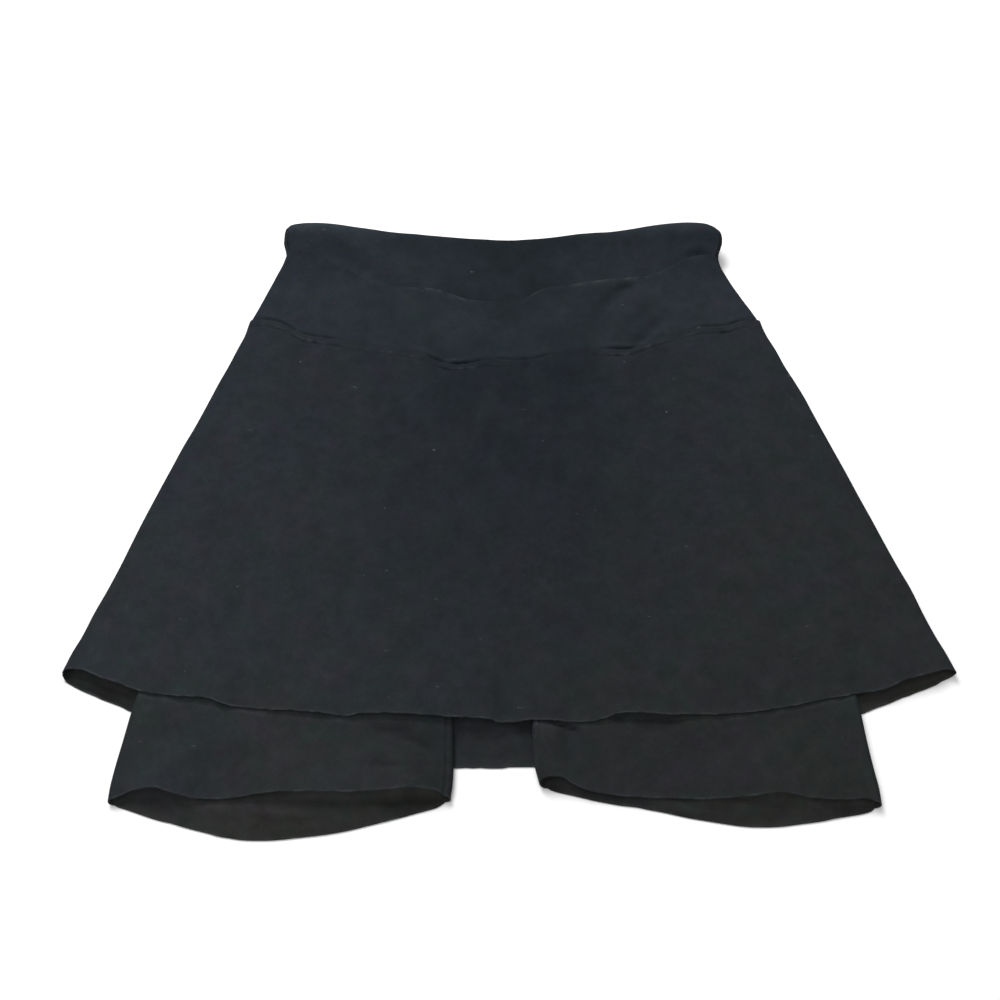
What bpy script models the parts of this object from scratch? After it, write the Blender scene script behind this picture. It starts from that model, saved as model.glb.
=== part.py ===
"""Tennis skort laid flat with its front up: a flared jersey skirt over jersey shorts on a wide waistband.

Metres, +Z up. The surface it lies on is z = 0, +X is the wearer's left and +Y points to the waist.
Each panel starts as a level slab of cloth on a grid and is moved onto the flattened tube it belongs to. Its
columns run across the tube, from one side fold to the other, and its rows run from the hem to the waist. Its
depth runs from 0 on the tube's outside to the wall's thickness on the inside. The front and back of a tube
meet along its side folds, a seam's gap apart. The right side in a name is the wearer's right, at -X.
"""

import functools
import math

import bmesh
import bpy

COLLECTION = "tennis_skort"

# Cloth
CLOTH = 0.0012
SEAM_GAP = 0.0003
LAYER = CLOTH + SEAM_GAP
BAND_WALL = 2 * CLOTH + SEAM_GAP
FRONT = "front"
BACK = "back"

# Waistband, in plan
BAND_SEAM_HALF = 0.2065
BAND_TOP_HALF = 0.1825
BAND_TAPER = 1.5
BAND_FRONT_TOP_Y = 0.236
BAND_FRONT_DIP = 0.050
BAND_FRONT_DIP_HALF = 0.165
BAND_FOLD_TOP_Y = 0.234
BAND_BACK_TOP_Y = 0.2505
BAND_BACK_TOP_RISE = 0.005
BAND_BACK_RISE_HALF = 0.150
BAND_CORNER = 0.017

# Seam between the waistband and the skirt
SEAM_SIDE_Y = 0.164
SEAM_FRONT_DIP = 0.040
SEAM_BACK_RISE = 0.022

# Skirt, in plan
SKIRT_TOP_HALF = 0.2085
SKIRT_HEM_HALF = 0.319
SKIRT_HEM_SIDE_Y = -0.1365
SKIRT_FRONT_HEM_DROP = 0.037
SKIRT_FRONT_HEM_POWER = 2.3
SKIRT_BACK_HEM_DROP = 0.068
SKIRT_BACK_HEM_RIGHT_POWER = 3.0
SKIRT_BACK_HEM_LEFT_POWER = 2.2

# The garment leans this far sideways per metre towards the waist
LEAN = -0.0065

# Shorts, in plan. The wearer's right leg is at -X.
CROTCH_X = -0.010
CROTCH_Y = -0.090
LEG_PARTING = 0.060
SHORTS_TOP_HALF = SKIRT_TOP_HALF - LAYER
LEG_COLUMNS = (
    "side", "sign", "inner_x", "outer_x", "inner_y", "outer_y", "front_drop", "back_drop", "hem_power",
)
LEG_ROWS = (
    ("right", -1, -0.0385, -0.2745, -0.2270, -0.2300, -0.003, 0.0270, 1.02),
    ("left", 1, 0.0200, 0.2545, -0.2200, -0.2315, 0.004, 0.0195, 1.35),
)
LEGS = {row[0]: dict(zip(LEG_COLUMNS, row)) for row in LEG_ROWS}
CROTCH_ROW = 2
WAIST_ROW = 3

# Heights of the outer faces above the surface
SIDE_HEIGHT = 0.0072
SIDE_HEIGHT_HEM = 0.0090
MIDDLE_HEIGHT = 0.0076
HEM_LOFT = 0.0074
LOFT_START_Y = -0.060
LOFT_END_Y = -0.228
LOFT_POWER = 2.2
PLATEAU = 0.090
BAND_TOP_SIDE_HEIGHT = 0.0107
BAND_TOP_MIDDLE_HEIGHT = 0.0116
SHORTS_SLACK = 0.0004
LEG_FOLD_HEIGHT = SIDE_HEIGHT - 2 * LAYER
LEG_MOUTH_FOLD_HEIGHT = 0.0070
LEG_PLATEAU = 0.045
LEG_CLEAR_OF_SKIRT = 0.002

# The waistband's curled side folds and its rolled back edge
LOBE_LIFT = 0.0190
LOBE_START_X = 0.060
LOBE_WIDTH = 0.100
LOBE_START_Y = 0.200
LOBE_LENGTH = 0.0555
LIP_LIFT = 0.0030
LIP_START_Y = 0.225
LIP_LENGTH = 0.025

# Low waves of the free hems: centre, height and half width of each
WAVE_COLUMNS = ("x", "height", "half_width")
SKIRT_WAVES = (
    (-0.215, 0.0022, 0.060),
    (-0.110, 0.0012, 0.055),
    (-0.005, 0.0008, 0.050),
    (0.095, 0.0024, 0.065),
    (0.205, 0.0014, 0.050),
)
LEG_WAVES = (
    (-0.235, 0.0020, 0.035),
    (-0.095, 0.0018, 0.070),
    (0.050, 0.0024, 0.035),
    (0.180, 0.0016, 0.045),
)
WAVE_REACH = 0.060

# Grids. Angles run round a side fold, from the seam at its outermost line to its flat.
FOLD_ANGLES = tuple(math.radians(degrees) for degrees in (0, 22.5, 45, 67.5, 90))
FLAT = math.radians(90)
HALF_COLUMNS = 8
INNER_FOLD = (0, 0.0)
OUTER_FOLD = (1, 0.0)
SKIRT_ROWS = 11
BAND_ROWS = 6
MOUTH_ROWS = 3
LEG_GRID_ROWS = 4
HIP_ROWS = 4
SHARP_ANGLE = math.radians(50)

# Materials: colour, roughness
MATERIALS = {
    "waistband_jersey": ((0.024, 0.029, 0.037, 1.0), 0.88),
    "skirt_jersey": ((0.023, 0.027, 0.031, 1.0), 0.90),
    "shorts_jersey": ((0.024, 0.026, 0.029, 1.0), 0.90),
}


def smooth(share):
    """Ease from 0 to 1 with level ends, held outside that range."""
    held = min(1.0, max(0.0, share))
    return held * held * (3 - 2 * held)


def mix(start, end, share):
    return start + (end - start) * share


def seam_y(face, x):
    """The waistband seam, level at the side folds."""
    bow = max(0.0, 1 - (x / BAND_SEAM_HALF) ** 2)
    if face == FRONT:
        return SEAM_SIDE_Y - SEAM_FRONT_DIP * bow
    return SEAM_SIDE_Y + SEAM_BACK_RISE * bow


def skirt_hem_y(face, across):
    if face == FRONT:
        return SKIRT_HEM_SIDE_Y - SKIRT_FRONT_HEM_DROP * (1 - abs(across) ** SKIRT_FRONT_HEM_POWER)
    power = SKIRT_BACK_HEM_RIGHT_POWER if across < 0 else SKIRT_BACK_HEM_LEFT_POWER
    return SKIRT_HEM_SIDE_Y - SKIRT_BACK_HEM_DROP * (1 - abs(across) ** power)


def band_top_y(face, x):
    corner = min(1.0, max(0.0, 1 - (BAND_TOP_HALF - abs(x)) / BAND_CORNER))
    turn = 1 - math.sqrt(1 - corner * corner)
    if face == FRONT:
        dip = BAND_FRONT_DIP * max(0.0, 1 - (x / BAND_FRONT_DIP_HALF) ** 2)
        level = BAND_FRONT_TOP_Y - dip
    else:
        level = BAND_BACK_TOP_Y + BAND_BACK_TOP_RISE * min(1.0, (x / BAND_BACK_RISE_HALF) ** 2)
    return mix(level, BAND_FOLD_TOP_Y, turn)


def skirt_half_width(y):
    """Half the width of the flared skirt at a height on its straight side fold."""
    down = (SEAM_SIDE_Y - y) / (SEAM_SIDE_Y - SKIRT_HEM_SIDE_Y)
    return mix(SKIRT_TOP_HALF, SKIRT_HEM_HALF, down)


def side_height(y):
    """Height of the skirt's side fold."""
    return mix(SIDE_HEIGHT, SIDE_HEIGHT_HEM, smooth((LOFT_START_Y - y) / (LOFT_START_Y - SKIRT_HEM_SIDE_Y)))


def skirt_top_z(x, y):
    """Outer face of the skirt's front, which is the ceiling of all that lies under it."""
    rise = max(0.0, (LOFT_START_Y - y) / (LOFT_START_Y - LOFT_END_Y)) ** LOFT_POWER
    inward = smooth((skirt_half_width(y) - abs(x)) / PLATEAU)
    return mix(side_height(y), MIDDLE_HEIGHT + HEM_LOFT * rise, inward)


def waves_z(waves, x, above_hem):
    """Height that the low waves of a free hem add, fading away above it."""
    total = 0.0
    for row in waves:
        wave = dict(zip(WAVE_COLUMNS, row))
        total += wave["height"] * smooth(1 - abs(x - wave["x"]) / wave["half_width"])
    return total * smooth(1 - above_hem / WAVE_REACH)


def fold_z(face, angle, fold_level, flat_level):
    """Height round a side fold: from its seam at fold_level to its flat at flat_level."""
    away = SEAM_GAP / 2 if face == FRONT else -SEAM_GAP / 2
    return mix(fold_level + away, flat_level, math.sin(angle))


def skirt_point(face, column, row, depth):
    share, angle = column
    side_y = mix(SKIRT_HEM_SIDE_Y, SEAM_SIDE_Y - SEAM_GAP / 2, row)
    half = skirt_half_width(side_y)
    radius = side_height(side_y) / 2
    x = share * (half - radius + (radius - depth) * math.cos(angle))
    across = x / half
    hem = skirt_hem_y(face, across)
    y = mix(hem, seam_y(face, across * SKIRT_TOP_HALF) - SEAM_GAP / 2, row)
    if face == BACK:
        return x, y, fold_z(face, angle, radius, depth)
    top = skirt_top_z(x, y) + waves_z(SKIRT_WAVES, x, y - hem)
    return x, y, fold_z(face, angle, radius, top - depth)


def band_lift(x, y):
    """How far the curled side folds and the rolled back edge stand off the surface."""
    outward = smooth((abs(x) - LOBE_START_X) / LOBE_WIDTH)
    lobe = LOBE_LIFT * outward * max(0.0, (y - LOBE_START_Y) / LOBE_LENGTH) ** 2
    lip = LIP_LIFT * max(0.0, (y - LIP_START_Y) / LIP_LENGTH) ** 2 * (1 - outward)
    return lobe + lip


def band_point(face, column, row, depth):
    share, angle = column
    half = mix(BAND_SEAM_HALF, BAND_TOP_HALF, 1 - (1 - row) ** BAND_TAPER)
    height = mix(SIDE_HEIGHT, BAND_TOP_SIDE_HEIGHT, row)
    radius = height / 2
    x = share * (half - radius + (radius - depth) * math.cos(angle))
    seam = seam_y(face, x / half * BAND_SEAM_HALF) + SEAM_GAP / 2
    outside_x = share * (half - radius + radius * math.cos(angle))
    y = mix(seam, band_top_y(face, outside_x / half * BAND_TOP_HALF), row)
    lift = band_lift(x, y)
    if face == BACK:
        return x, y, fold_z(face, angle, radius, depth) + lift
    middle = mix(MIDDLE_HEIGHT, BAND_TOP_MIDDLE_HEIGHT, row)
    top = mix(height, middle, smooth((half - abs(x)) / PLATEAU))
    return x, y, fold_z(face, angle, radius, top - depth) + lift


def leg_hem_y(leg, face, outward):
    drop = leg["front_drop"] if face == FRONT else leg["back_drop"]
    level = mix(leg["inner_y"], leg["outer_y"], outward)
    return level - drop * math.sin(math.pi * outward ** leg["hem_power"])


def leg_inner_x(leg, y):
    """The shorts' inner fold, and how far it has parted. Above the crotch it is the centre seam."""
    parting = smooth((CROTCH_Y - y) / LEG_PARTING)
    centre = CROTCH_X * min(1.0, max(0.0, (SEAM_SIDE_Y - y) / (SEAM_SIDE_Y - CROTCH_Y)))
    return mix(centre + leg["sign"] * SEAM_GAP / 2, leg["inner_x"], parting), parting


def leg_outer_x(leg, y):
    down = (SEAM_SIDE_Y - y) / (SEAM_SIDE_Y - leg["outer_y"])
    return mix(leg["sign"] * SHORTS_TOP_HALF, leg["outer_x"], down)


def fold_x(inner, outer, radius, share, column, depth=0.0):
    """Across a leg from one fold to the other, round a side fold of this radius at each end."""
    place, angle = column
    sign = math.copysign(1.0, outer - inner)
    end = sign if place else -sign
    return mix(inner + sign * radius, outer - sign * radius, share) + end * (radius - depth) * math.cos(angle)


def leg_share(place, row):
    """How far across a shorts panel a column lies: close to both folds in the leg, as in the band above."""
    in_leg = (1 - math.cos(math.pi * place)) / 2
    at_top = math.sin(FLAT * place)
    return mix(in_leg, at_top, smooth(row - CROTCH_ROW))


def shorts_y(leg, face, column, row, depth=0.0):
    """Row 0 is the leg's hem and row 1 lies just past the hem of the skirt's back."""
    place = column[0]
    outward = leg_share(place, 0)
    leg_across = mix(leg["inner_x"], leg["outer_x"], outward) / SKIRT_HEM_HALF
    top_outer = leg["sign"] * SHORTS_TOP_HALF
    top_x = fold_x(0.0, top_outer, LEG_FOLD_HEIGHT / 2, leg_share(place, WAIST_ROW), column, depth)
    levels = (
        leg_hem_y(leg, face, outward),
        skirt_hem_y(BACK, leg_across) - LEG_CLEAR_OF_SKIRT,
        CROTCH_Y,
        seam_y(face, top_x) - SEAM_GAP / 2,
    )
    below = min(WAIST_ROW - 1, int(row))
    return mix(levels[below], levels[below + 1], row - below)


def shorts_point(leg, face, column, row, depth):
    """Columns run from the inner fold, at place 0, to the outer one, at place 1."""
    place, angle = column
    y = shorts_y(leg, face, column, row, depth)
    inner, parting = leg_inner_x(leg, shorts_y(leg, face, INNER_FOLD, row))
    outer_y = shorts_y(leg, face, OUTER_FOLD, row)
    outer = leg_outer_x(leg, outer_y)
    toward_hem = smooth((CROTCH_Y - outer_y) / (CROTCH_Y - leg["outer_y"]))
    height = mix(LEG_FOLD_HEIGHT, LEG_MOUTH_FOLD_HEIGHT, toward_hem)
    radius = height / 2
    x = fold_x(inner, outer, radius, leg_share(place, row), column, depth if place else depth * parting)
    flat = LAYER * smooth(row)
    fold_level = flat + radius
    if face == FRONT:
        ceiling = skirt_top_z(x, y) - LAYER - SHORTS_SLACK
        off_outer = 1 - smooth(abs(outer - x) / LEG_PLATEAU)
        off_inner = (1 - smooth(abs(x - inner) / LEG_PLATEAU)) * parting
        wave = waves_z(LEG_WAVES, x, y - leg_hem_y(leg, face, leg_share(place, 0)))
        flat = ceiling - (ceiling - flat - height) * (off_outer + off_inner) + wave - depth
    else:
        flat += depth
    z = fold_z(face, angle, fold_level, flat)
    if not place:
        z = mix(flat, z, parting)
    return x, y, z


def round_folds(flats):
    """Columns from fold to fold: the flat's places, and at each end the angles round a side fold."""
    first = [(flats[0], angle) for angle in FOLD_ANGLES]
    last = [(flats[-1], angle) for angle in reversed(FOLD_ANGLES)]
    return first + [(place, FLAT) for place in flats[1:-1]] + last


def wide_columns():
    """Shares of the whole width, from -1 to 1, closer together towards the side folds."""
    return round_folds([math.sin(FLAT * (step / HALF_COLUMNS - 1)) for step in range(2 * HALF_COLUMNS + 1)])


def leg_columns():
    return round_folds([step / HALF_COLUMNS for step in range(HALF_COLUMNS + 1)])


def even_rows(count, first=0.0, last=1.0):
    return [mix(first, last, step / count) for step in range(count + 1)]


def add_panel(name, point, face, across, along, wall, mirrored, material, collection):
    """A level slab on a grid, its outside facing out of the tube, moved to the panel's own points."""
    slab = bmesh.new()
    bmesh.ops.create_grid(slab, x_segments=len(across) - 1, y_segments=len(along) - 1, size=1.0)
    bmesh.ops.solidify(slab, geom=slab.faces, thickness=wall)
    levels = [vertex.co.z for vertex in slab.verts]
    outside = max(levels) if face == FRONT else min(levels)
    for vertex in slab.verts:
        column = round((vertex.co.x + 1) / 2 * (len(across) - 1))
        row = round((vertex.co.y + 1) / 2 * (len(along) - 1))
        depth = abs(vertex.co.z - outside)
        x, y, z = point(across[column], along[row], depth)
        vertex.co = (x + LEAN * (y - SKIRT_HEM_SIDE_Y), y, z)
    if mirrored:
        bmesh.ops.reverse_faces(slab, faces=slab.faces)
    mesh = bpy.data.meshes.new(name)
    slab.to_mesh(mesh)
    slab.free()
    mesh.shade_smooth()
    mesh.set_sharp_from_angle(angle=SHARP_ANGLE)
    mesh.materials.append(material)
    collection.objects.link(bpy.data.objects.new(name, mesh))


def make_material(name):
    colour, roughness = MATERIALS[name]
    material = bpy.data.materials.new(name)
    material.use_nodes = True
    material.diffuse_color = colour
    shader = material.node_tree.nodes["Principled BSDF"]
    shader.inputs["Base Color"].default_value = colour
    shader.inputs["Roughness"].default_value = roughness
    shader.inputs["Metallic"].default_value = 0.0
    return material


def add_waistband(collection):
    material = make_material("waistband_jersey")
    across = wide_columns()
    along = even_rows(BAND_ROWS)
    for face in (FRONT, BACK):
        point = functools.partial(band_point, face)
        add_panel(f"waistband_{face}", point, face, across, along, BAND_WALL, False, material, collection)


def add_skirt(collection):
    material = make_material("skirt_jersey")
    across = wide_columns()
    along = even_rows(SKIRT_ROWS)
    for face in (FRONT, BACK):
        point = functools.partial(skirt_point, face)
        add_panel(f"skirt_{face}", point, face, across, along, CLOTH, False, material, collection)


def add_shorts(collection):
    material = make_material("shorts_jersey")
    across = leg_columns()
    along = even_rows(MOUTH_ROWS)
    along += even_rows(LEG_GRID_ROWS, along[-1], CROTCH_ROW)[1:]
    along += even_rows(HIP_ROWS, CROTCH_ROW, WAIST_ROW)[1:]
    for side, leg in LEGS.items():
        mirrored = leg["sign"] < 0
        for face in (FRONT, BACK):
            point = functools.partial(shorts_point, leg, face)
            name = f"shorts_{side}_{face}"
            add_panel(name, point, face, across, along, CLOTH, mirrored, material, collection)


def main():
    for old in list(bpy.data.objects):
        bpy.data.objects.remove(old, do_unlink=True)
    collection = bpy.data.collections.new(COLLECTION)
    bpy.context.scene.collection.children.link(collection)
    add_waistband(collection)
    add_skirt(collection)
    add_shorts(collection)


main()
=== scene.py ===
"""Finished look of a tennis skort that lies flat with its front up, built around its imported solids.

+X is the wearer's left and +Y points from the hem to the waist. The surface it lies on is z = 0.
Each panel is a slab of cloth made on a grid. Its columns run from one side fold to the other, its rows from
the hem to the waist, and its depth from 0 on the outside to the wall's thickness on the inside. The panels
share the same side folds, seam line and creases, so they stay nested. The right side is the wearer's right.
"""

import math

import bmesh
import bpy
import numpy as np
from mathutils import Matrix, Vector
from mathutils.bvhtree import BVHTree


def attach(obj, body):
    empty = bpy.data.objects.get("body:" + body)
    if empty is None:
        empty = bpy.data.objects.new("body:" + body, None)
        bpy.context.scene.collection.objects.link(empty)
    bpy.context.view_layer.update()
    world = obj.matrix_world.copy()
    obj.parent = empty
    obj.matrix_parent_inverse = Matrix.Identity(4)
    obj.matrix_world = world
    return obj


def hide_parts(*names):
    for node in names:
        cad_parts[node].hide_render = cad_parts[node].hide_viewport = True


bl_info = {
    "name": "Tennis Skort",
    "version": (1, 0, 0),
    "blender": (4, 5, 0),
    "location": "3D View > Sidebar > Skort",
    "description": "Builds a knitted tennis skort that lies flat with its front up",
    "category": "Add Mesh",
}

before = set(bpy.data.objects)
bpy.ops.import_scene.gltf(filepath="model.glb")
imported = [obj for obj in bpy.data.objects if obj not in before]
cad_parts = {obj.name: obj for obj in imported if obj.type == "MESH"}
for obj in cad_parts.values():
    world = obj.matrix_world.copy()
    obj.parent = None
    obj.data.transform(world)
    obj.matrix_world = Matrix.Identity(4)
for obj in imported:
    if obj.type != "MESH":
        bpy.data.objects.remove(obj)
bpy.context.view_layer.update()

MM = 0.001
FRONT = "front"
BACK = "back"
FLAT = math.pi / 2

# Seam between waistband and skirt on the front, in millimetres, and how strongly its groove, the edge of
# the allowance below it and the worn line along that edge stand out
SEAM_FRONT = (
    ("x", "y", "groove", "edge", "light"),
    (-209, 168, 0.4, 0.5, 0.4), (-200, 168.5, 0.8, 0.5, 0.3), (-193, 167.6, 1.0, 0.5, 0.3),
    (-186, 165.8, 1.0, 0.7, 0.8), (-180, 163, 1.0, 0.9, 1.0), (-175, 159.2, 1.0, 0.9, 1.1),
    (-168, 155.3, 0.9, 1.0, 0.9), (-163, 153.3, 1.0, 1.0, 1.0), (-151, 150.9, 1.2, 1.0, 1.3),
    (-141, 149, 0.7, 1.0, 1.4), (-132, 147.8, 0.1, 0.2, 0.2), (-120, 145.9, 0.05, 0.1, 0.6),
    (-108, 143.5, 0.05, 0.05, 0.5), (-96, 141.8, 0.1, 0.15, 0.8), (-88, 140.6, 0.05, 0.05, 0.1),
    (-77, 138, 0.1, 0.2, 0.8), (-66, 133.9, 0.6, 0.5, 0.2), (-58, 129.4, 1.0, 0.9, 0.3),
    (-50, 126.4, 1.7, 1.1, 0.8), (-42, 125.3, 2.1, 1.1, 0.9), (-32, 125.8, 1.6, 1.0, 1.0),
    (-22, 127.7, 0.7, 0.7, 0.8), (-14, 129, 0.6, 0.5, 0.5), (-6, 129.4, 0.8, 0.2, 0.1),
    (2, 128.8, 0.9, 0.2, 0.2), (10, 128.6, 0.9, 0.3, 0.5), (18, 129.3, 0.9, 0.2, 0.4),
    (26, 131, 0.9, 0.2, 0.2), (34, 133.9, 0.3, 0.05, 0.0), (50, 137.8, 0.05, 0.0, 0.0),
    (63, 140.2, 0.1, 0.05, 0.1), (76, 139.6, 0.7, 0.5, 0.2), (84, 139.2, 1.3, 0.9, 0.6),
    (92, 139.2, 1.5, 1.0, 0.9), (100, 140.4, 1.3, 0.9, 0.9), (107, 143.6, 1.0, 0.7, 1.0),
    (115, 147.5, 0.8, 0.7, 1.0), (125, 151.2, 0.3, 0.5, 1.0), (137, 155.2, 0.05, 0.15, 0.6),
    (149, 159, 0.05, 0.1, 0.3), (157, 160.7, 0.8, 0.7, 0.3), (169, 161.1, 1.0, 0.9, 0.5),
    (176, 161.8, 1.0, 0.9, 0.6), (183, 164, 0.9, 0.8, 0.7), (191, 167, 0.6, 0.5, 0.6),
    (198, 167.8, 0.5, 0.4, 0.5), (206, 168, 0.4, 0.4, 0.4),
)
SEAM_SIDE_Y = 168
SEAM_BACK_RISE = 20
SEAM_BACK_HALF = 206.5
SEAM_TUCK = 2.5

# Side folds of the waistband and of the skirt, in millimetres
BAND_SIDES = (
    ("y", "right", "left"),
    (168, -208.7, 204.5), (179, -204, 199), (187, -200.7, 194.6), (199, -196, 188.4), (211, -191.1, 182.1),
    (220, -186.6, 176.9), (224, -184.9, 174.4), (228, -183.3, 174.2),
)
SKIRT_SIDES = (
    ("y", "right", "left"),
    (-137, -318.3, 319.4), (-122, -313.2, 314), (-110, -308, 308.9), (-91, -301.7, 302.2),
    (-72, -294.2, 296.4), (-53, -287.4, 288.8), (-33, -281, 281.3), (-13, -274.5, 274.3), (8, -267, 266.5),
    (29, -259.2, 258.9), (50, -251.6, 251.1), (65, -245.4, 245.6), (79, -240.2, 240.5), (94, -234.8, 235.2),
    (109, -229.4, 228.8), (124, -223.6, 222), (140, -218, 216.2), (155, -212.6, 209.7), (163, -211, 207.3),
    (168, -209.8, 206.3),
)
SKIRT_SIDE_BOTTOM_Y = -137
BAND_SIDE_TOP_Y = 228

# Top edges of the waistband, in millimetres. Height is that of the front's outer face and light the wear of
# its fold. Lip is how far the back's edge is rolled up.
BAND_FRONT_TOP = (
    ("x", "y", "height", "light"),
    (-183.3, 228, 10.7, 0.1), (-181, 229.2, 10.7, 0.1), (-177, 230.3, 10.7, 0.12),
    (-171, 230.9, 10.7, 0.15), (-165, 229.8, 10.7, 0.12), (-159, 227.9, 10.7, 0.05),
    (-152, 225, 10.6, 0.03), (-147, 221.9, 10.5, 0), (-140, 218.3, 10.4, 0), (-130, 214.5, 10.2, 0),
    (-124, 211, 10, 0), (-117, 206, 9.8, 0), (-111, 203.2, 9.7, 0), (-102, 201.8, 9.5, 0),
    (-90, 200.6, 9.2, 0.05), (-80, 199.8, 9, 0.1), (-74, 199.9, 8.8, 0.6), (-64, 199.3, 8.5, 0.75),
    (-57, 198, 8.3, 0.55), (-51, 195.4, 8, 0.05), (-45, 193.4, 7.8, 0.5), (-40, 191, 7.6, 0.6),
    (-31, 188, 7.4, 0.4), (-18, 186.9, 7.2, 0), (-6, 187, 7, 0), (6, 187.7, 7, 0), (15, 190.8, 7.1, 0.05),
    (22, 195.4, 7.3, 0.5), (27, 198.2, 7.4, 0.25), (35, 200.9, 7.7, 0.1), (48, 202.5, 8.1, 0.1),
    (57, 203.6, 8.4, 0.5), (65, 205.3, 8.7, 0.65), (74, 206.6, 9, 0.6), (85, 208, 9.2, 0.7),
    (97, 208.8, 9.6, 0.75), (103, 209.1, 9.7, 0.65), (114, 209.8, 9.9, 0.35), (122, 212, 10.1, 0.15),
    (130, 215.6, 10.3, 0.15), (139, 219.9, 10.5, 0.1), (145, 222.8, 10.6, 0.05), (151, 224.9, 10.7, 0.1),
    (159, 226.7, 10.7, 0.15), (166, 227.3, 10.7, 0.15), (174.2, 226.5, 10.7, 0.1),
)
BAND_BACK_TOP = (
    ("x", "y", "lip"),
    (-183.3, 228, 4.2), (-183, 235, 4.2), (-182.6, 241, 4.2), (-181.7, 248.3, 4.2), (-178, 253.8, 4.2),
    (-172.5, 256.6, 4.2), (-165, 258.5, 4.2), (-155, 259, 4.2), (-146, 258.7, 4.2), (-128, 257.4, 4.5),
    (-113, 257.3, 5.5), (-102, 256.7, 6.0), (-90, 256.5, 6.5), (-78, 256.2, 7.0), (-66, 255.2, 6.5),
    (-55, 254.1, 6.0), (-43, 253.2, 5.2), (-31, 252.4, 4.6), (-19, 251.9, 4.2), (-8, 251.1, 4.0),
    (4, 250.9, 4.0), (16, 251.6, 4.3), (27, 252.2, 5.0), (39, 253.3, 6.0), (51, 254.7, 7.5),
    (63, 256.3, 8.2), (74, 256.6, 8.0), (86, 256.1, 7.0), (98, 256.5, 6.0), (110, 257.4, 5.0),
    (122, 258.6, 4.5), (134, 259.2, 4.2), (146, 259.3, 4.2), (154, 258.4, 4.2), (160.5, 256.8, 4.2),
    (166, 253.2, 4.2), (172.4, 247.2, 4.2), (173.8, 241, 4.2), (174.1, 235, 4.2), (174.2, 226.5, 4.2),
)

# Hem of the skirt: plan and height of the front's outer face, and plan of the back, in millimetres
SKIRT_FRONT_HEM = (
    ("x", "y", "height"),
    (-318.5, -137, 9), (-314, -135.2, 9), (-304, -136, 10), (-291, -141.4, 11.6), (-276, -146.6, 11),
    (-261, -151.8, 9.7), (-247, -154.6, 9.6), (-227, -156.6, 11), (-214, -157.5, 11.9),
    (-204, -160.8, 11.6), (-191, -163.6, 9.2), (-174, -165.2, 9.2), (-149, -167, 11.2),
    (-130, -168.7, 11.2), (-115, -170.8, 9.2), (-104, -169.4, 11.4), (-79, -169.2, 12), (-52, -171.2, 12.4),
    (-25, -172.6, 12.4), (-13, -173.2, 12), (-6, -175.2, 10.4), (5, -175.2, 10.4), (13, -173.8, 11.4),
    (28, -174.1, 11.4), (42, -175, 10), (55, -174.8, 9.5), (67, -172.8, 10.6), (80, -169, 13),
    (94, -168.8, 12), (110, -169.7, 11.3), (148, -169.2, 10), (177, -166.6, 9.2), (196, -163.7, 9.2),
    (225, -157.8, 9.2), (244, -154.1, 9.2), (263, -151, 9.2), (282, -143.8, 10.8), (302, -138.2, 10.4),
    (312, -135.8, 9.2), (319, -137, 9),
)
SKIRT_BACK_HEM = (
    ("x", "y"),
    (-318.3, -138), (-316, -141.4), (-313, -144), (-308, -146.9), (-303, -149), (-294, -152.7),
    (-285, -156.4), (-277, -159.8), (-267, -164), (-220, -178.5), (-150, -194.6), (-80, -203.2),
    (-36, -205.3), (-6, -205.2), (4, -204.6), (16, -204.3), (70, -202), (150, -190.8), (215, -176.4),
    (250, -165.8), (266, -159.4), (279, -154.4), (293, -149.1), (302, -145.5), (311, -141.1), (316, -138.8),
    (319.4, -137),
)

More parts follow.
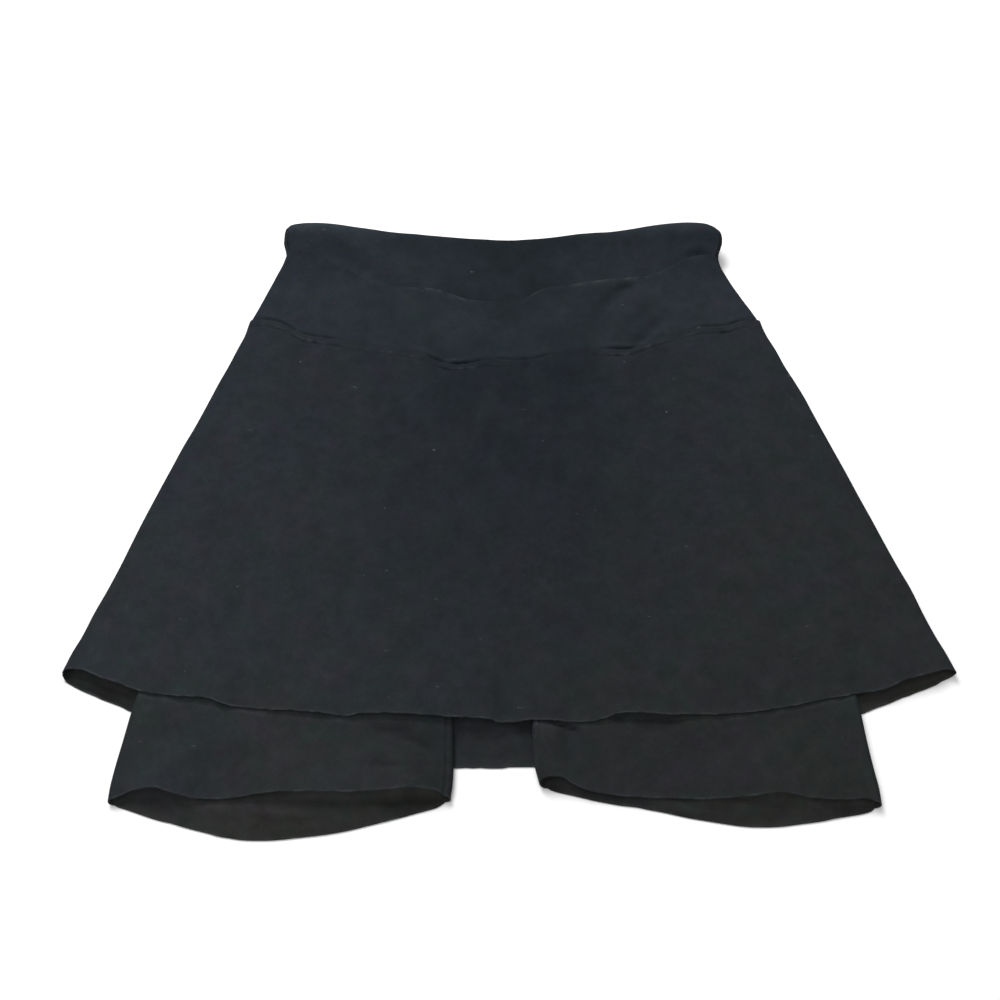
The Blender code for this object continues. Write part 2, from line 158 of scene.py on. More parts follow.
# Legs of the shorts, in millimetres. The sign is the side that a leg lies on, and stitch end is where the
# inseam's stitches stop above the hem. Inner fold, inner shade and wrong side are shares: how much painted
# shade darkens the inner fold, how much painted shade darkens the cloth beside it, and how far the inside
# shows its other colour. Mouth says how much painted light and shade make the back lighter and darker inside
# the mouth, and how deep in.
LEGS = {
    "right": {
        "sign": -1.0,
        "stitch_end": -222,
        "inner_height": 7.5,
        "inner_fold": 1.0,
        "inner_shade": 0.35,
        "wrong_side": 0.75,
        "mouth": (
            ("x", "light", "dim", "depth"),
            (-273, 1.4, 0, 8), (-232, 1.5, -0.1, 9), (-178, 1.3, 0, 8.5), (-125, 2.6, 0, 8),
            (-86, 2.2, 0.04, 8), (-72, 2.2, 0.15, 8), (-55, 2.5, 0.12, 7.5), (-39, 2.2, 0.15, 7.5),
        ),
        "outer_height": 8.0,
        "inner": (
            ("y", "x"),
            (-235, -39.5), (-227, -39.5), (-218, -38.4), (-206, -38), (-186, -38.3), (-165, -39.3),
        ),
        "outer": (
            ("y", "x"),
            (-235, -273.8), (-223, -273.5), (-206, -271.5), (-189, -268.6), (-165, -264.8),
        ),
        "front_hem": (
            ("x", "y", "height"),
            (-273.5, -228.8, 8), (-268, -226.5, 8), (-261, -224.2, 9.6), (-252, -223.1, 13),
            (-243, -222.8, 14.7), (-235, -225, 14.2), (-225, -227.2, 10.2), (-214, -228.4, 6.6),
            (-196, -228.3, 5.2), (-178, -226.3, 7.2), (-162, -224.6, 9.4), (-136, -224.3, 11),
            (-106, -225, 12), (-85, -224.2, 13), (-66, -222.6, 13.8), (-52, -223, 12.4), (-45, -224, 9.6),
            (-39.5, -227, 7.5),
        ),
        "back_hem": (
            ("x", "y"),
            (-273.5, -231.4), (-272, -232.4), (-267, -233.8), (-259, -236.3), (-249, -239.6),
            (-240, -242.2), (-232, -243.9), (-223, -246.4), (-215, -248.5), (-206, -250.6), (-198, -252.7),
            (-190, -254), (-182, -255.2), (-174, -255.6), (-165, -255.6), (-157, -255.2), (-141, -253.6),
            (-125, -251.8), (-109, -249.2), (-93, -245.4), (-77, -241.5), (-69, -239.5), (-61, -237.3),
            (-53, -235.2), (-47, -233.6), (-44, -232.2), (-42, -230.9), (-39.5, -229.2),
        ),
    },
    "left": {
        "sign": 1.0,
        "stitch_end": -216,
        "inner_height": 12.0,
        "inner_fold": 0.2,
        "inner_shade": 0.0,
        "wrong_side": 0.4,
        "mouth": (
            ("x", "light", "dim", "depth"),
            (20, 1, 0.25, 11), (62, 0.95, 0.2, 11), (100, 2, 0.3, 11), (130, 2.6, 0.12, 11),
            (160, 2.6, -0.1, 13), (185, 2.7, -0.25, 14), (205, 2.4, -0.15, 13), (232, 2.1, 0.25, 10),
            (254, 2, 0.35, 9),
        ),
        "outer_height": 8.0,
        "inner": (
            ("y", "x"),
            (-230, 21.5), (-220, 21.2), (-206, 18), (-189, 16.8), (-165, 16.2),
        ),
        "outer": (
            ("y", "x"),
            (-240, 254.5), (-223, 253.8), (-206, 251.4), (-189, 249.4), (-165, 247.5),
        ),
        "front_hem": (
            ("x", "y", "height"),
            (20, -214.9, 12), (22.5, -214.3, 12), (30, -214.9, 11.8), (36, -217.7, 9.8),
            (46.5, -222.1, 7.2), (60, -224.9, 5.8), (89, -227.7, 6), (110, -228.4, 7), (126, -229.3, 8),
            (153, -229, 11.2), (174, -227.4, 14.2), (185, -226.2, 14.6), (195, -227.1, 13.3),
            (208, -229.1, 10.8), (231, -229.8, 9), (245, -228.6, 8), (250, -229.4, 8), (254.5, -231, 8),
        ),
        "back_hem": (
            ("x", "y"),
            (20, -219.6), (22, -220.8), (25, -221.8), (28, -222.6), (35, -224.1), (45, -226.3),
            (54, -228.4), (64, -230.2), (73, -231.7), (83, -232.7), (92, -234.5), (102, -236.3),
            (111, -238.2), (121, -240.3), (130, -241.8), (139, -243.2), (149, -244.7), (158, -245.9),
            (168, -246.5), (177, -246.5), (187, -246), (196, -244.9), (206, -243.7), (216, -242.4),
            (225, -240.5), (235, -239), (245, -237.4), (251, -235.8), (253, -234.8), (254.5, -233.4),
        ),
    },
}
CENTRE_X = -10
CENTRE_SPREAD = 0.6
CROTCH_Y = -90
LEG_TOP_Y = -165
PARTING_LENGTH = 60
PAST_SKIRT_BACK = 2
CROTCH_ROW = 2

# Heights above the surface, and where and over which reach they change, in millimetres
SIDE_HEIGHT = 7.2
SIDE_HEIGHT_HEM = 9.0
MIDDLE_HEIGHT = 7.6
HEM_LOFT = 7.4
LOFT_START_Y = -60
LOFT_END_Y = -228
LOFT_POWER = 2.2
PLATEAU = 90
BAND_SIDE_TOP_HEIGHT = 10.7
HEM_REACH = 62
SHORTS_AT_SKIRT_HEM = 8.8
SHORTS_SLACK = 0.4
SEAM_ROOM_FRONT = 1.6
SEAM_ROOM_BACK = 0.5
SEAM_ROOM_REACH = 24
SEAM_ROOM_SIDE = 0.65
LEG_PLATEAU = 45
LEG_RISE = 46

# Curled side folds of the waistband and its rolled back edge, in millimetres, and the share of each at
# which it starts to roll over and how strongly it does
BAND_CENTRE_X = -4
LOBE_START_X = 60
LOBE_WIDTH = 100
LOBE_START_Y = 200
LOBE_LENGTH = 57
LOBE_ROLL_START = 0.8
LOBE_ROLL = 0.35
LOBE_BULGE = {"right": 3.1, "left": 5.3}
LOBE_BULGE_START_Y = 230
LOBE_BULGE_LENGTH = 9
LOBE_BULGE_POWER = 6
LIP_START_Y = 225
LIP_LENGTH = 32
LIP_ROLL_START = 0.75
LIP_ROLL = 0.4
NECK_Y = 216

# Creases and ridges of the upper layers, in millimetres: a bent line, its height and its half width
CREASES = (
    ("x0", "y0", "x1", "y1", "x2", "y2", "height", "half_width"),
    (114, 205, 78, 194, 70, 156, -2.8, 6.2),
    (108, 202, 98, 198, 86, 198, -1.6, 4.0),
    (126, 198, 100, 176, 82, 152, 2.2, 7.5),
    (130, 172, 114, 154, 98, 142, -2.5, 5.2),
    (126, 152, 112, 150, 100, 143, -1.6, 3.2),
    (58, 196, 46, 176, 50, 152, 0.9, 8.0),
    (-172, 220, -163, 206, -150, 190, -0.7, 9.0),
    (-130, 202, -116, 182, -112, 156, 0.7, 11.0),
    (-66, 192, -50, 166, -46, 138, -0.8, 8.0),
    (-20, 182, -12, 160, -20, 138, 0.7, 9.0),
    (24, 190, 20, 166, 30, 142, -0.5, 8.0),
    (162, 218, 156, 196, 166, 172, -0.6, 8.0),
    (-190, 200, -186, 188, -192, 176, 0.5, 6.0),
    (146, 229, 156, 231.5, 167, 231, -2.4, 2.8),
    (-160, 246, -134, 243, -112, 236, 0.9, 6.0),
    (-166, 157, -155, 154, -146, 153, -0.8, 2.2),
    (-56, 130, -44, 129, -32, 130, -0.9, 3.0),
    (-138, 119, -132, 117, -126, 117, -0.5, 2.0),
    (40, 107, 60, 104, 84, 106, -0.5, 2.2),
    (40, 112, 42, 107, 46, 104, -0.5, 2.2),
    (-6, 116, -9, 97, -5, 78, 0.8, 4.5),
    (-15, 66, -12, 31, -12, -10, -0.9, 5.5),
    (50, 56, 52, 1, 58, -56, -0.7, 6.5),
    (-176, 148, -196, 60, -228, -40, 0.6, 15.0),
    (-118, 130, -146, 20, -182, -128, -0.7, 16.0),
    (-62, 110, -92, 10, -100, -110, 0.5, 18.0),
    (96, 128, 118, 20, 128, -100, 0.6, 17.0),
    (150, 136, 186, 30, 214, -120, -0.7, 15.0),
    (192, 148, 214, 70, 246, -30, 0.5, 13.0),
    (-250, -40, -262, -90, -280, -128, 0.6, 12.0),
    (-40, -100, -34, -140, -30, -164, 0.6, 11.0),
)

# The same for the fronts of the legs below the skirt
LEG_CREASES = (
    ("x0", "y0", "x1", "y1", "x2", "y2", "height", "half_width"),
    (-100, -177, -84, -181, -64, -179, -1.9, 2.6),
    (-78, -182, -62, -188, -48, -197, -2.2, 2.8),
    (-104, -203, -88, -207, -66, -205, -1.4, 2.8),
    (73, -170, 77, -171.6, 81, -172, -2.2, 1.8),
    (-64, -179, -58, -180, -54, -184, 1.2, 3.0),
    (-70, -206, -58, -208, -47, -212, 0.8, 4.0),
    (-60, -184, -50, -200, -46, -214, 0.6, 4.0),
    (22, -174, 28, -190, 44, -208, 0.9, 5.0),
    (16, -172, 24, -190, 32, -208, 2.0, 3.0),
    (36, -176, 38, -192, 42, -206, -1.4, 3.6),
    (24, -170, 38, -176, 52, -182, -3.2, 2.6),
    (70, -180, 62, -196, 60, -214, -0.5, 8.0),
    (-246, -176, -238, -190, -236, -206, -0.6, 8.0),
    (-196, -170, -192, -180, -184, -190, 0.5, 6.0),
    (-210, -180, -206, -200, -214, -220, -0.6, 9.0),
    (-150, -176, -154, -196, -148, -214, 0.5, 12.0),
    (82, -170, 104, -174, 130, -170, -2.4, 5.0),
    (150, -178, 160, -198, 158, -218, -0.5, 10.0),
    (214, -176, 206, -196, 212, -218, 0.5, 11.0),
)
LEG_CREASES_START_Y = -160
LEG_CREASES_FADE = 8

# Painted shade in the hollow behind the waistband's front: a bent line, how much it darkens and its half
# width
BAND_HOLLOW_SHADE = (
    ("x0", "y0", "x1", "y1", "x2", "y2", "dim", "half_width"),
    (-152, 242, -118, 226, -84, 206, 0.30, 8.0),
)

# Painted shade in the hollow between the legs, under the skirt's hem
CROTCH_HOLLOW_SHADE = (
    ("x0", "y0", "x1", "y1", "x2", "y2", "dim", "half_width"),
    (2, -172, 10, -175, 18, -178, 0.45, 2.8),
)

# The folds of the legs' backs inside their mouths
MOUTH_FOLDS = (
    ("x0", "y0", "x1", "y1", "x2", "y2", "height", "half_width"),
    (-236, -227, -224, -234, -220, -243, 2.2, 4.5),
    (-210, -230, -204, -238, -196, -248, 1.6, 5.5),
    (-178, -235, -150, -241, -126, -238, 2.2, 3.5),
    (-166, -249, -140, -246, -116, -246, 1.2, 4.0),
    (-108, -226, -92, -234, -84, -240, 0.9, 6.0),
    (96, -224, 116, -231, 130, -234, 1.6, 4.0),
    (146, -230, 170, -236, 196, -233, 2.2, 4.0),
    (206, -226, 214, -233, 222, -238, 1.6, 4.5),
)

# Creases: steps along a bent line, how many half widths it reaches, how steeply its ends taper off and the
# share of its height left there
CREASE_STEPS = 14
CREASE_REACH = 3.0
CREASE_TAPER = 3.0
CREASE_END = 0.25

# Slow waves over the whole garment: direction in degrees, length and height in millimetres, and start in
# radians
SWELLS = (
    ("turn", "length", "height", "start"),
    (12, 148, 0.30, 0.4), (101, 117, 0.22, 2.1), (57, 83, 0.16, 4.0), (146, 64, 0.12, 1.3),
    (80, 46, 0.08, 5.2),
)

# Waves that add up to an uneven line, as (length in millimetres, height), and the lines made of them, as
# (start in radians, middle, swing)
EDGE_WAVES = ((31.0, 0.36), (17.3, 0.3), (9.4, 0.22), (5.8, 0.12))
UNEVEN = {
    "skirt_hem": (0.7, 0.0, 1.0), "skirt_curl": (2.9, 0.45, 0.55), "skirt_sway": (5.1, 0.0, 1.0),
    "leg_curl": (1.1, 0.45, 0.55), "leg_sway": (3.3, 0.0, 1.0), "skirt_wear": (4.4, 0.5, 0.5),
    "leg_wear": (5.3, 0.32, 0.5), "groove": (1.7, 0.85, 0.7), "edge": (3.3, 0.85, 0.7),
    "seam_wear": (2.6, 0.25, 1.1),
}

# Cut edges: how far they curl up and sway, as shares of the hems' unevenness, and half widths in millimetres
HEM_CURL = 1.6
HEM_CURL_WIDTH = 2.2
HEM_SWAY = 1.2
HEM_SWAY_WIDTH = 7.0

# Seam at the waistband, in millimetres across it; its strengths, squeeze and fade are shares
SEAM_LEAST = 0.1
SEAM_BACK_STRENGTH = 0.6
SEAM_SQUEEZE = 0.6
SEAM_FADE = 0.8
GROOVE_DEPTH = 0.9
GROOVE_HALF = 1.1
BAND_PUFF = 0.55
BAND_PUFF_PLACE = 3.0
BAND_PUFF_HALF = 2.0
ALLOWANCE_HEIGHT = 0.5
ALLOWANCE_RISE = 2.5
ALLOWANCE_FALL = 1.6
TOPSTITCH_PLACE = 7.0
TOPSTITCH_DEPTH = 1.0
TOPSTITCH_HALF = 0.9
TOPSTITCH_ENDS = (-203, 200)

# Inseam, in millimetres; its pucker and swell are shares, and its waves are in radians a metre
INSEAM_PLACE = 5.0
INSEAM_DEPTH = 0.8
INSEAM_HALF = 0.8
INSEAM_START_Y = -120
INSEAM_FADE = 30
INSEAM_STITCH_TOP_Y = -130
PUCKER = 0.25
PUCKER_WAVE = 1900
PUCKER_SWAY = 40
PUCKER_SWAY_WAVE = 90
INSEAM_PUFF = 0.35
INSEAM_PUFF_PLACE = 2.2
INSEAM_PUFF_HALF = 1.2
INSEAM_PUFF_SWELL = 0.6
INSEAM_PUFF_WAVE = 620

# Wear of the edges: its strength, its place below the seam and its half width in millimetres
HEM_WEAR_HALF = 0.9
SEAM_WEAR = 0.5
SEAM_WEAR_PLACE = 5.4
SEAM_WEAR_HALF = 1.1
BAND_WEAR = 0.8
BAND_WEAR_HALF = 2.8
BAND_BACK_WEAR = 0.15

# Painted light and shade: shares of the cloth's lightness, and reaches in millimetres
FOLD_DIM = 0.45
TOP_DIM = 0.8
TOP_DIM_HALF = {FRONT: 1.2, BACK: 1.8}
NECK_LIGHT = 0.9
NECK_FADE = 12
MOUTH_LIGHT_MOST = 1.45
MOUTH_LIGHT_BEHIND = 8
MOUTH_LIGHT_FADE = 20
SKIRT_MOUTH_LIGHT = 1.35
SKIRT_MOUTH_DEPTH = 11
SKIRT_MOUTH_DIM = 0.05
BACK_HEM_LIGHT = 0.25
BACK_HEM_REACH = 8
CORNER_DIM = 0.48
CORNER_X = 240
CORNER_FADE = 40
CORNER_DEPTH = 14
CORNER_SOFTNESS = 10
# Where the inside shows its other colour: from this x outward, over this reach, in millimetres
WRONG_SIDE_X = 60
WRONG_SIDE_FADE = 160
# Painted light below the skirt's hem, and painted shade in the creases' troughs and beside the inseam
LEG_LIGHT = 1.45
HEM_SHADOW = 4.2
HEM_SHADOW_GROWTH = 1.3
HEM_SHADOW_LEAST = 4.0
HEM_SHADOW_LOFT = 9.2
TROUGH_SHADE_DEPTH = 4.0
TROUGH_SHADE_MOST = 0.6
INNER_SHADE_PLACE = 20
INNER_SHADE_HALF = 24
INNER_SHADE_FADE = 22

# Painted light and shade in lighter and darker stretches of the waistband: where, at which x, how wide and by
# which share
BAND_LIGHTS = {
    FRONT: (("middle", 0, 70, 0.05), ("right", -50, 60, -0.07)),
    BACK: (("right", -70, 60, 0.26), ("left", 50, 60, 0.08), ("middle", 10, 60, -0.12)),
}

# Grids: steps, stops, widths and lengths in millimetres, and how many columns, rows and steps round a fold
STEP = 2.6
HIDDEN_STEP = 5.0
MOUTH_STEP = 2.2
LIP_STOPS = (0.0, 0.08, 0.25, 0.5, 0.9, 1.5, 2.6)
SEAM_STOPS = (0.0, 0.1, 0.5, 1.0, 1.6, 2.3, 3.0, 3.7, 4.3, 4.8, 5.3, 5.9, 6.8, 8.0, 9.8)
INSEAM_STOPS = (0.0, 0.8, 1.6, 2.4, 3.0, 3.5, 4.0, 4.5, 5.0, 5.5, 6.2, 7.2, 8.6, 10.4)
SIDE_STOPS = (0.0, 2.6)
BAND_COLUMNS = 169
SKIRT_WIDTH = 630
SKIRT_LENGTH = 305
LEG_WIDTH = 232
LEG_LENGTH = 52
THIGH_ROWS = 35
HIP_ROWS = 39
FOLD_STEPS = 7

# Share of the wall's thickness left at the very edge of a round lip
LIP_LEAST = 0.12

# Stitches: points along a line before it is spaced, height in metres they are dropped from, and how far a
# stitch stands proud as a share of its thickness
TOPSTITCH_POINTS = 900
INSEAM_POINTS = 200
DROP_HEIGHT = 0.1
STITCH_PROUD = 0.12

# Noise patterns of the finishes: scale, detail and roughness
PATTERNS = {
    "clouds": (16.0, 3.0, 0.55), "patches": (58.0, 5.0, 0.65), "deep_middle": (28.0, 4.0, 0.55),
    "mottle": (75.0, 4.0, 0.65), "smudges": (240.0, 2.0, 0.65), "melange": (1100.0, 2.0, 0.65),
    "wrong_side": (46.0, 4.0, 0.55), "wear": (90.0, 2.0, 0.55), "fluff": (700.0, 2.0, 0.55),
    "matt": (300.0, 3.0, 0.55), "fuzz": (750.0, 4.0, 0.7), "twist": (2600.0, 2.0, 0.6),
    "paper": (240.0, 2.0, 0.55),
}

# Shades of the dye, as shares of the cloth's red, green and blue
NAVY = (0.91, 1.01, 1.12)
GREY = (1.08, 1.02, 0.91)
GREEN = (0.84, 1.07, 0.92)
VIOLET = (1.14, 0.95, 1.13)
WRONG_SIDE = (1.12, 1.0, 0.82, 1.0)
DEEP_SKIRT = (0.54, 0.63, 0.74)
DEEP_BAND = (0.53, 0.66, 0.66)

# Where the dye is deepest, in metres, and its half widths there
DEEP_CENTRE = (0.01, 0.17, 0.007)
DEEP_HALF = (0.115, 0.24, 1.0)

# Two sets of lint: scale, how far each speck is drawn out, its radius and the share of cells that hold one
LINT = ((45.0, 0.35, 0.040, 0.8), (60.0, 0.7, 0.062, 0.8))

# Stage, in metres, and its lights: name, place, size and power in watts
CAMERA_PLACE = (-0.006, -0.4964, 0.9439)
CAMERA_TILT = math.radians(28)
LENS = 50.4
SENSOR = 36.0
FLOOR_SIZE = 6.0
FLOOR_DROP = 0.0001
ROOM_LIGHT = 0.48
LAMPS = (("softbox", (-0.60, 1.20, 1.60), 1.1, 42.0), ("fill", (-0.1, 0.1, 2.0), 1.4, 9.0))


def column(table, name):
    """One named column of a table, in metres."""
    place = table[0].index(name)
    return np.array([row[place] for row in table[1:]], float) * MM


def smooth(share):
    """A share eased at 0 and 1."""
    held = np.clip(share, 0.0, 1.0)
    return held * held * (3 - 2 * held)


def eased(distance, length):
    """Eased from 0 to 1 over a length in millimetres."""
    return smooth(distance / (length * MM))


def mix(start, end, share):
    return start + (end - start) * share


def bump(away, half_width):
    """A soft bell, 1 in its middle, with its half width in millimetres."""
    return np.exp(-((away / (half_width * MM)) ** 2))


def line_through(table, along, name, at):
    """A smooth line without overshoot through a table's points, read at these places."""
    places, values = column(table, along), column(table, name)
    width = np.diff(places)
    slope = np.diff(values) / width
    before, after = slope[:-1], slope[1:]
    same_way = before * after > 0
    total = np.where(same_way, before + after, 1.0)
    tangent = np.concatenate([slope[:1], np.where(same_way, 2 * before * after / total, 0.0), slope[-1:]])
    span = np.clip(np.searchsorted(places, at) - 1, 0, len(width) - 1)
    t = np.clip((at - places[span]) / width[span], 0.0, 1.0)
    start, end = values[span], values[span + 1]
    rise_in, rise_out = tangent[span] * width[span], tangent[span + 1] * width[span]
    return (
        start * (1 + 2 * t) * (1 - t) ** 2 + rise_in * t * (1 - t) ** 2
        + end * t * t * (3 - 2 * t) - rise_out * t * t * (1 - t)
    )


def uneven(place, name):
    """One of the uneven lines, read at these places."""
    start, middle, swing = UNEVEN[name]
    waves = sum(
        height * np.sin(place * 2 * math.pi / (length * MM) + start * (turn + 1))
        for turn, (length, height) in enumerate(EDGE_WAVES)
    )
    return middle + swing * waves


# The garment's lines


def seam_y(face, x):
    """The waistband's seam, in plan."""
    if face == FRONT:
        return line_through(SEAM_FRONT, "x", "y", x)
    rise = np.clip(1 - (x / (SEAM_BACK_HALF * MM)) ** 2, 0, 1)
    return (SEAM_SIDE_Y + SEAM_BACK_RISE * rise) * MM


def sides(table, y):
    """Middle and half width between two side folds."""
    right, left = line_through(table, "y", "right", y), line_through(table, "y", "left", y)
    return (right + left) / 2, (left - right) / 2


def skirt_hem_y(face, x):
    return line_through(SKIRT_FRONT_HEM if face == FRONT else SKIRT_BACK_HEM, "x", "y", x)


def side_height(y):
    """Height of the skirt's side folds."""
    down = eased(LOFT_START_Y * MM - y, LOFT_START_Y - SKIRT_SIDE_BOTTOM_Y)
    return mix(SIDE_HEIGHT, SIDE_HEIGHT_HEM, down) * MM


def skirt_level(x, y, hem_height):
    """Outer face of the skirt's front, eased to a height at its hem."""
    middle, half = sides(SKIRT_SIDES, y)
    loft = np.clip((LOFT_START_Y * MM - y) / ((LOFT_START_Y - LOFT_END_Y) * MM), 0, None) ** LOFT_POWER
    inward = eased(half - abs(x - middle), PLATEAU)
    level = mix(side_height(y), (MIDDLE_HEIGHT + HEM_LOFT * loft) * MM, inward)
    above_hem = y - skirt_hem_y(FRONT, x)
    return mix(level, hem_height, smooth(1 - above_hem / (HEM_REACH * MM)))


def curled(y, start, length, roll_start, roll):
    """A rising curve whose last part rolls over."""
    up = np.clip((y - start * MM) / (length * MM), 0, None)
    over = np.clip((up - roll_start) / (1 - roll_start), 0, None)
    return up**2 - roll * over**2


def band_lift(x, y, lobe_height):
    """How far the curled side folds and the rolled back edge stand off the surface."""
    outward = eased(abs(x - BAND_CENTRE_X * MM) - LOBE_START_X * MM, LOBE_WIDTH)
    lobe = lobe_height * curled(y, LOBE_START_Y, LOBE_LENGTH, LOBE_ROLL_START, LOBE_ROLL)
    lip_height = line_through(BAND_BACK_TOP, "x", "lip", x)
    lip = lip_height * curled(y, LIP_START_Y, LIP_LENGTH, LIP_ROLL_START, LIP_ROLL)
    return mix(lip, lobe, outward)


def from_bent_line(row, x, y):
    """Distance to a crease's bent line, and how far along it the nearest point lies."""
    start, bend, end = Vector(row[0:2]) * MM, Vector(row[2:4]) * MM, Vector(row[4:6]) * MM
    away, along = np.full(x.shape, np.inf), np.zeros(x.shape)
    shares = np.linspace(0, 1, CREASE_STEPS + 1)
    points = [start * (1 - t) ** 2 + bend * 2 * t * (1 - t) + end * t * t for t in shares]
    for step, (a, b) in enumerate(zip(points, points[1:])):
        run = b - a
        t = np.clip(((x - a.x) * run.x + (y - a.y) * run.y) / run.length_squared, 0, 1)
        far = np.hypot(x - a.x - t * run.x, y - a.y - t * run.y)
        nearer = far < away
        away, along = np.where(nearer, far, away), np.where(nearer, (step + t) / CREASE_STEPS, along)
    return away, along


def creased(table, x, y):
    """Height of a table's creases and ridges."""
    total = np.zeros(x.shape)
    for *points, height, half_width in table[1:]:
        reach = half_width * MM * CREASE_REACH
        near = np.ones(x.shape, bool)
        for place, corners in ((x, points[0::2]), (y, points[1::2])):
            near &= (place > min(corners) * MM - reach) & (place < max(corners) * MM + reach)
        away, along = from_bent_line(points, x[near], y[near])
        inner = smooth(along * CREASE_TAPER) * smooth((1 - along) * CREASE_TAPER)
        total[near] += height * MM * bump(away, half_width) * mix(CREASE_END, 1, inner)
    return total


def relief(x, y, strength):
    """Creases, ridges and slow waves of the upper layers."""
    total = creased(CREASES, x, y)
    for turn, length, height, start in SWELLS[1:]:
        angle = math.radians(turn)
        across = x * math.cos(angle) + y * math.sin(angle)
        total += height * MM * np.sin(2 * math.pi * across / (length * MM) + start)
    return total * strength


def seam_strength(x, name):
    return line_through(SEAM_FRONT, "x", name, x) / MM


def seam_relief(face, x, y):
    """Groove of the waistband seam, and the topstitched edge of the allowance below it."""
    off = y - seam_y(face, x)
    if face == FRONT:
        groove, edge = (
            seam_strength(x, name) * np.clip(uneven(x, name), SEAM_LEAST, None) for name in ("groove", "edge")
        )
    else:
        groove = edge = SEAM_BACK_STRENGTH
    puff = BAND_PUFF * bump(off - BAND_PUFF_PLACE * MM, BAND_PUFF_HALF)
    across = groove * (puff - GROOVE_DEPTH * bump(off, GROOVE_HALF))
    below = off + TOPSTITCH_PLACE * MM
    across += edge * ALLOWANCE_HEIGHT * eased(-off, ALLOWANCE_RISE) * eased(below, ALLOWANCE_FALL)
    across -= edge * TOPSTITCH_DEPTH * bump(below, TOPSTITCH_HALF)
    return across * MM


def inseam_x(leg, y):
    return line_through(leg["inner"], "y", "x", y) + leg["sign"] * INSEAM_PLACE * MM


def inseam_relief(leg, x, y):
    """Puckered groove of the inseam beside a leg's inner fold."""
    off = x - inseam_x(leg, y)
    pucker = 1 - PUCKER + PUCKER * np.sin(y * PUCKER_WAVE + PUCKER_SWAY * np.sin(y * PUCKER_SWAY_WAVE))
    puff = INSEAM_PUFF * bump(abs(off) - INSEAM_PUFF_PLACE * MM, INSEAM_PUFF_HALF)
    puff = puff * (1 + INSEAM_PUFF_SWELL * np.sin(y * INSEAM_PUFF_WAVE + 1.0))
    groove = INSEAM_DEPTH * bump(off, INSEAM_HALF) * pucker
    return (puff - groove) * eased(INSEAM_START_Y * MM - y, INSEAM_FADE) * MM


def hem_curl(sizes, place, from_edge, piece):
    """Unevenly raised last millimetres of a cut edge."""
    rise = HEM_CURL * uneven(place, f"{piece}_curl") * bump(from_edge, HEM_CURL_WIDTH)
    sway = HEM_SWAY * uneven(place, f"{piece}_sway") * bump(from_edge, HEM_SWAY_WIDTH)
    return sizes.hem_unevenness * (rise + sway)


def round_lip(depth, wall, from_edge):
    """Depth drawn in towards the middle of the wall, so that a free edge is round."""
    radius = wall / 2
    inward = 1 - np.clip(from_edge / radius, 0, 1)
    full = np.maximum(LIP_LEAST, np.sqrt(1 - inward**2))
    return radius + (depth - radius) * full


def mouth_light(y, front_hem, depth, strength):
    """Painted light: how much lighter the cloth is round the hem above it, to open up a mouth's shadow."""
    behind = y - front_hem
    near = np.clip(1 + behind / (depth * MM), 0, MOUTH_LIGHT_MOST) ** 2
    return strength * near * (1 - eased(behind - MOUTH_LIGHT_BEHIND * MM, MOUTH_LIGHT_FADE))


def dimmed(fold):
    """Lightness left where painted shade darkens the cloth, as along a fold."""
    return 1 - FOLD_DIM * fold


def fold_z(face, angle, fold_level, flat_level, gap):
    """Height round a side fold, where front and back lie a gap apart."""
    away = gap / 2 if face == FRONT else -gap / 2
    return mix(fold_level + away, flat_level, np.sin(angle))


def seam_squeeze(face, x, y):
    """The underside's own shallow groove, which never reaches below the surface."""
    return np.clip(-seam_relief(face, x, y), 0, None) * SEAM_SQUEEZE


def pressed(sizes, face, x, y, z):
    """Height with the creases, which fade away towards the surface."""
    height = relief(x, y, sizes.crease_strength) * smooth(z / (MIDDLE_HEIGHT * MM))
    if face == FRONT:
        height = height + seam_relief(face, x, y) * smooth((2 * z / (SIDE_HEIGHT * MM) - 1) / SEAM_FADE)
    return z + height


def seam_wear(face, x, y):
    """Worn line along the edge of the seam allowance."""
    if face == BACK:
        return np.zeros(x.shape)
    off = y - seam_y(face, x) + SEAM_WEAR_PLACE * MM
    patchy = np.clip(uneven(x, "seam_wear"), 0, 1)
    return SEAM_WEAR * bump(off, SEAM_WEAR_HALF) * seam_strength(x, "light") * patchy


def band_light(face, x):
    """Painted light and shade: lighter and darker stretches of the waistband, as a share."""
    total = np.zeros(x.shape)
    for where, start, width, share in BAND_LIGHTS[face]:
        off = x - start * MM
        if where == "middle":
            total += share * bump(off, width)
        else:
            total += share * eased(off if where == "left" else -off, width)
    return total
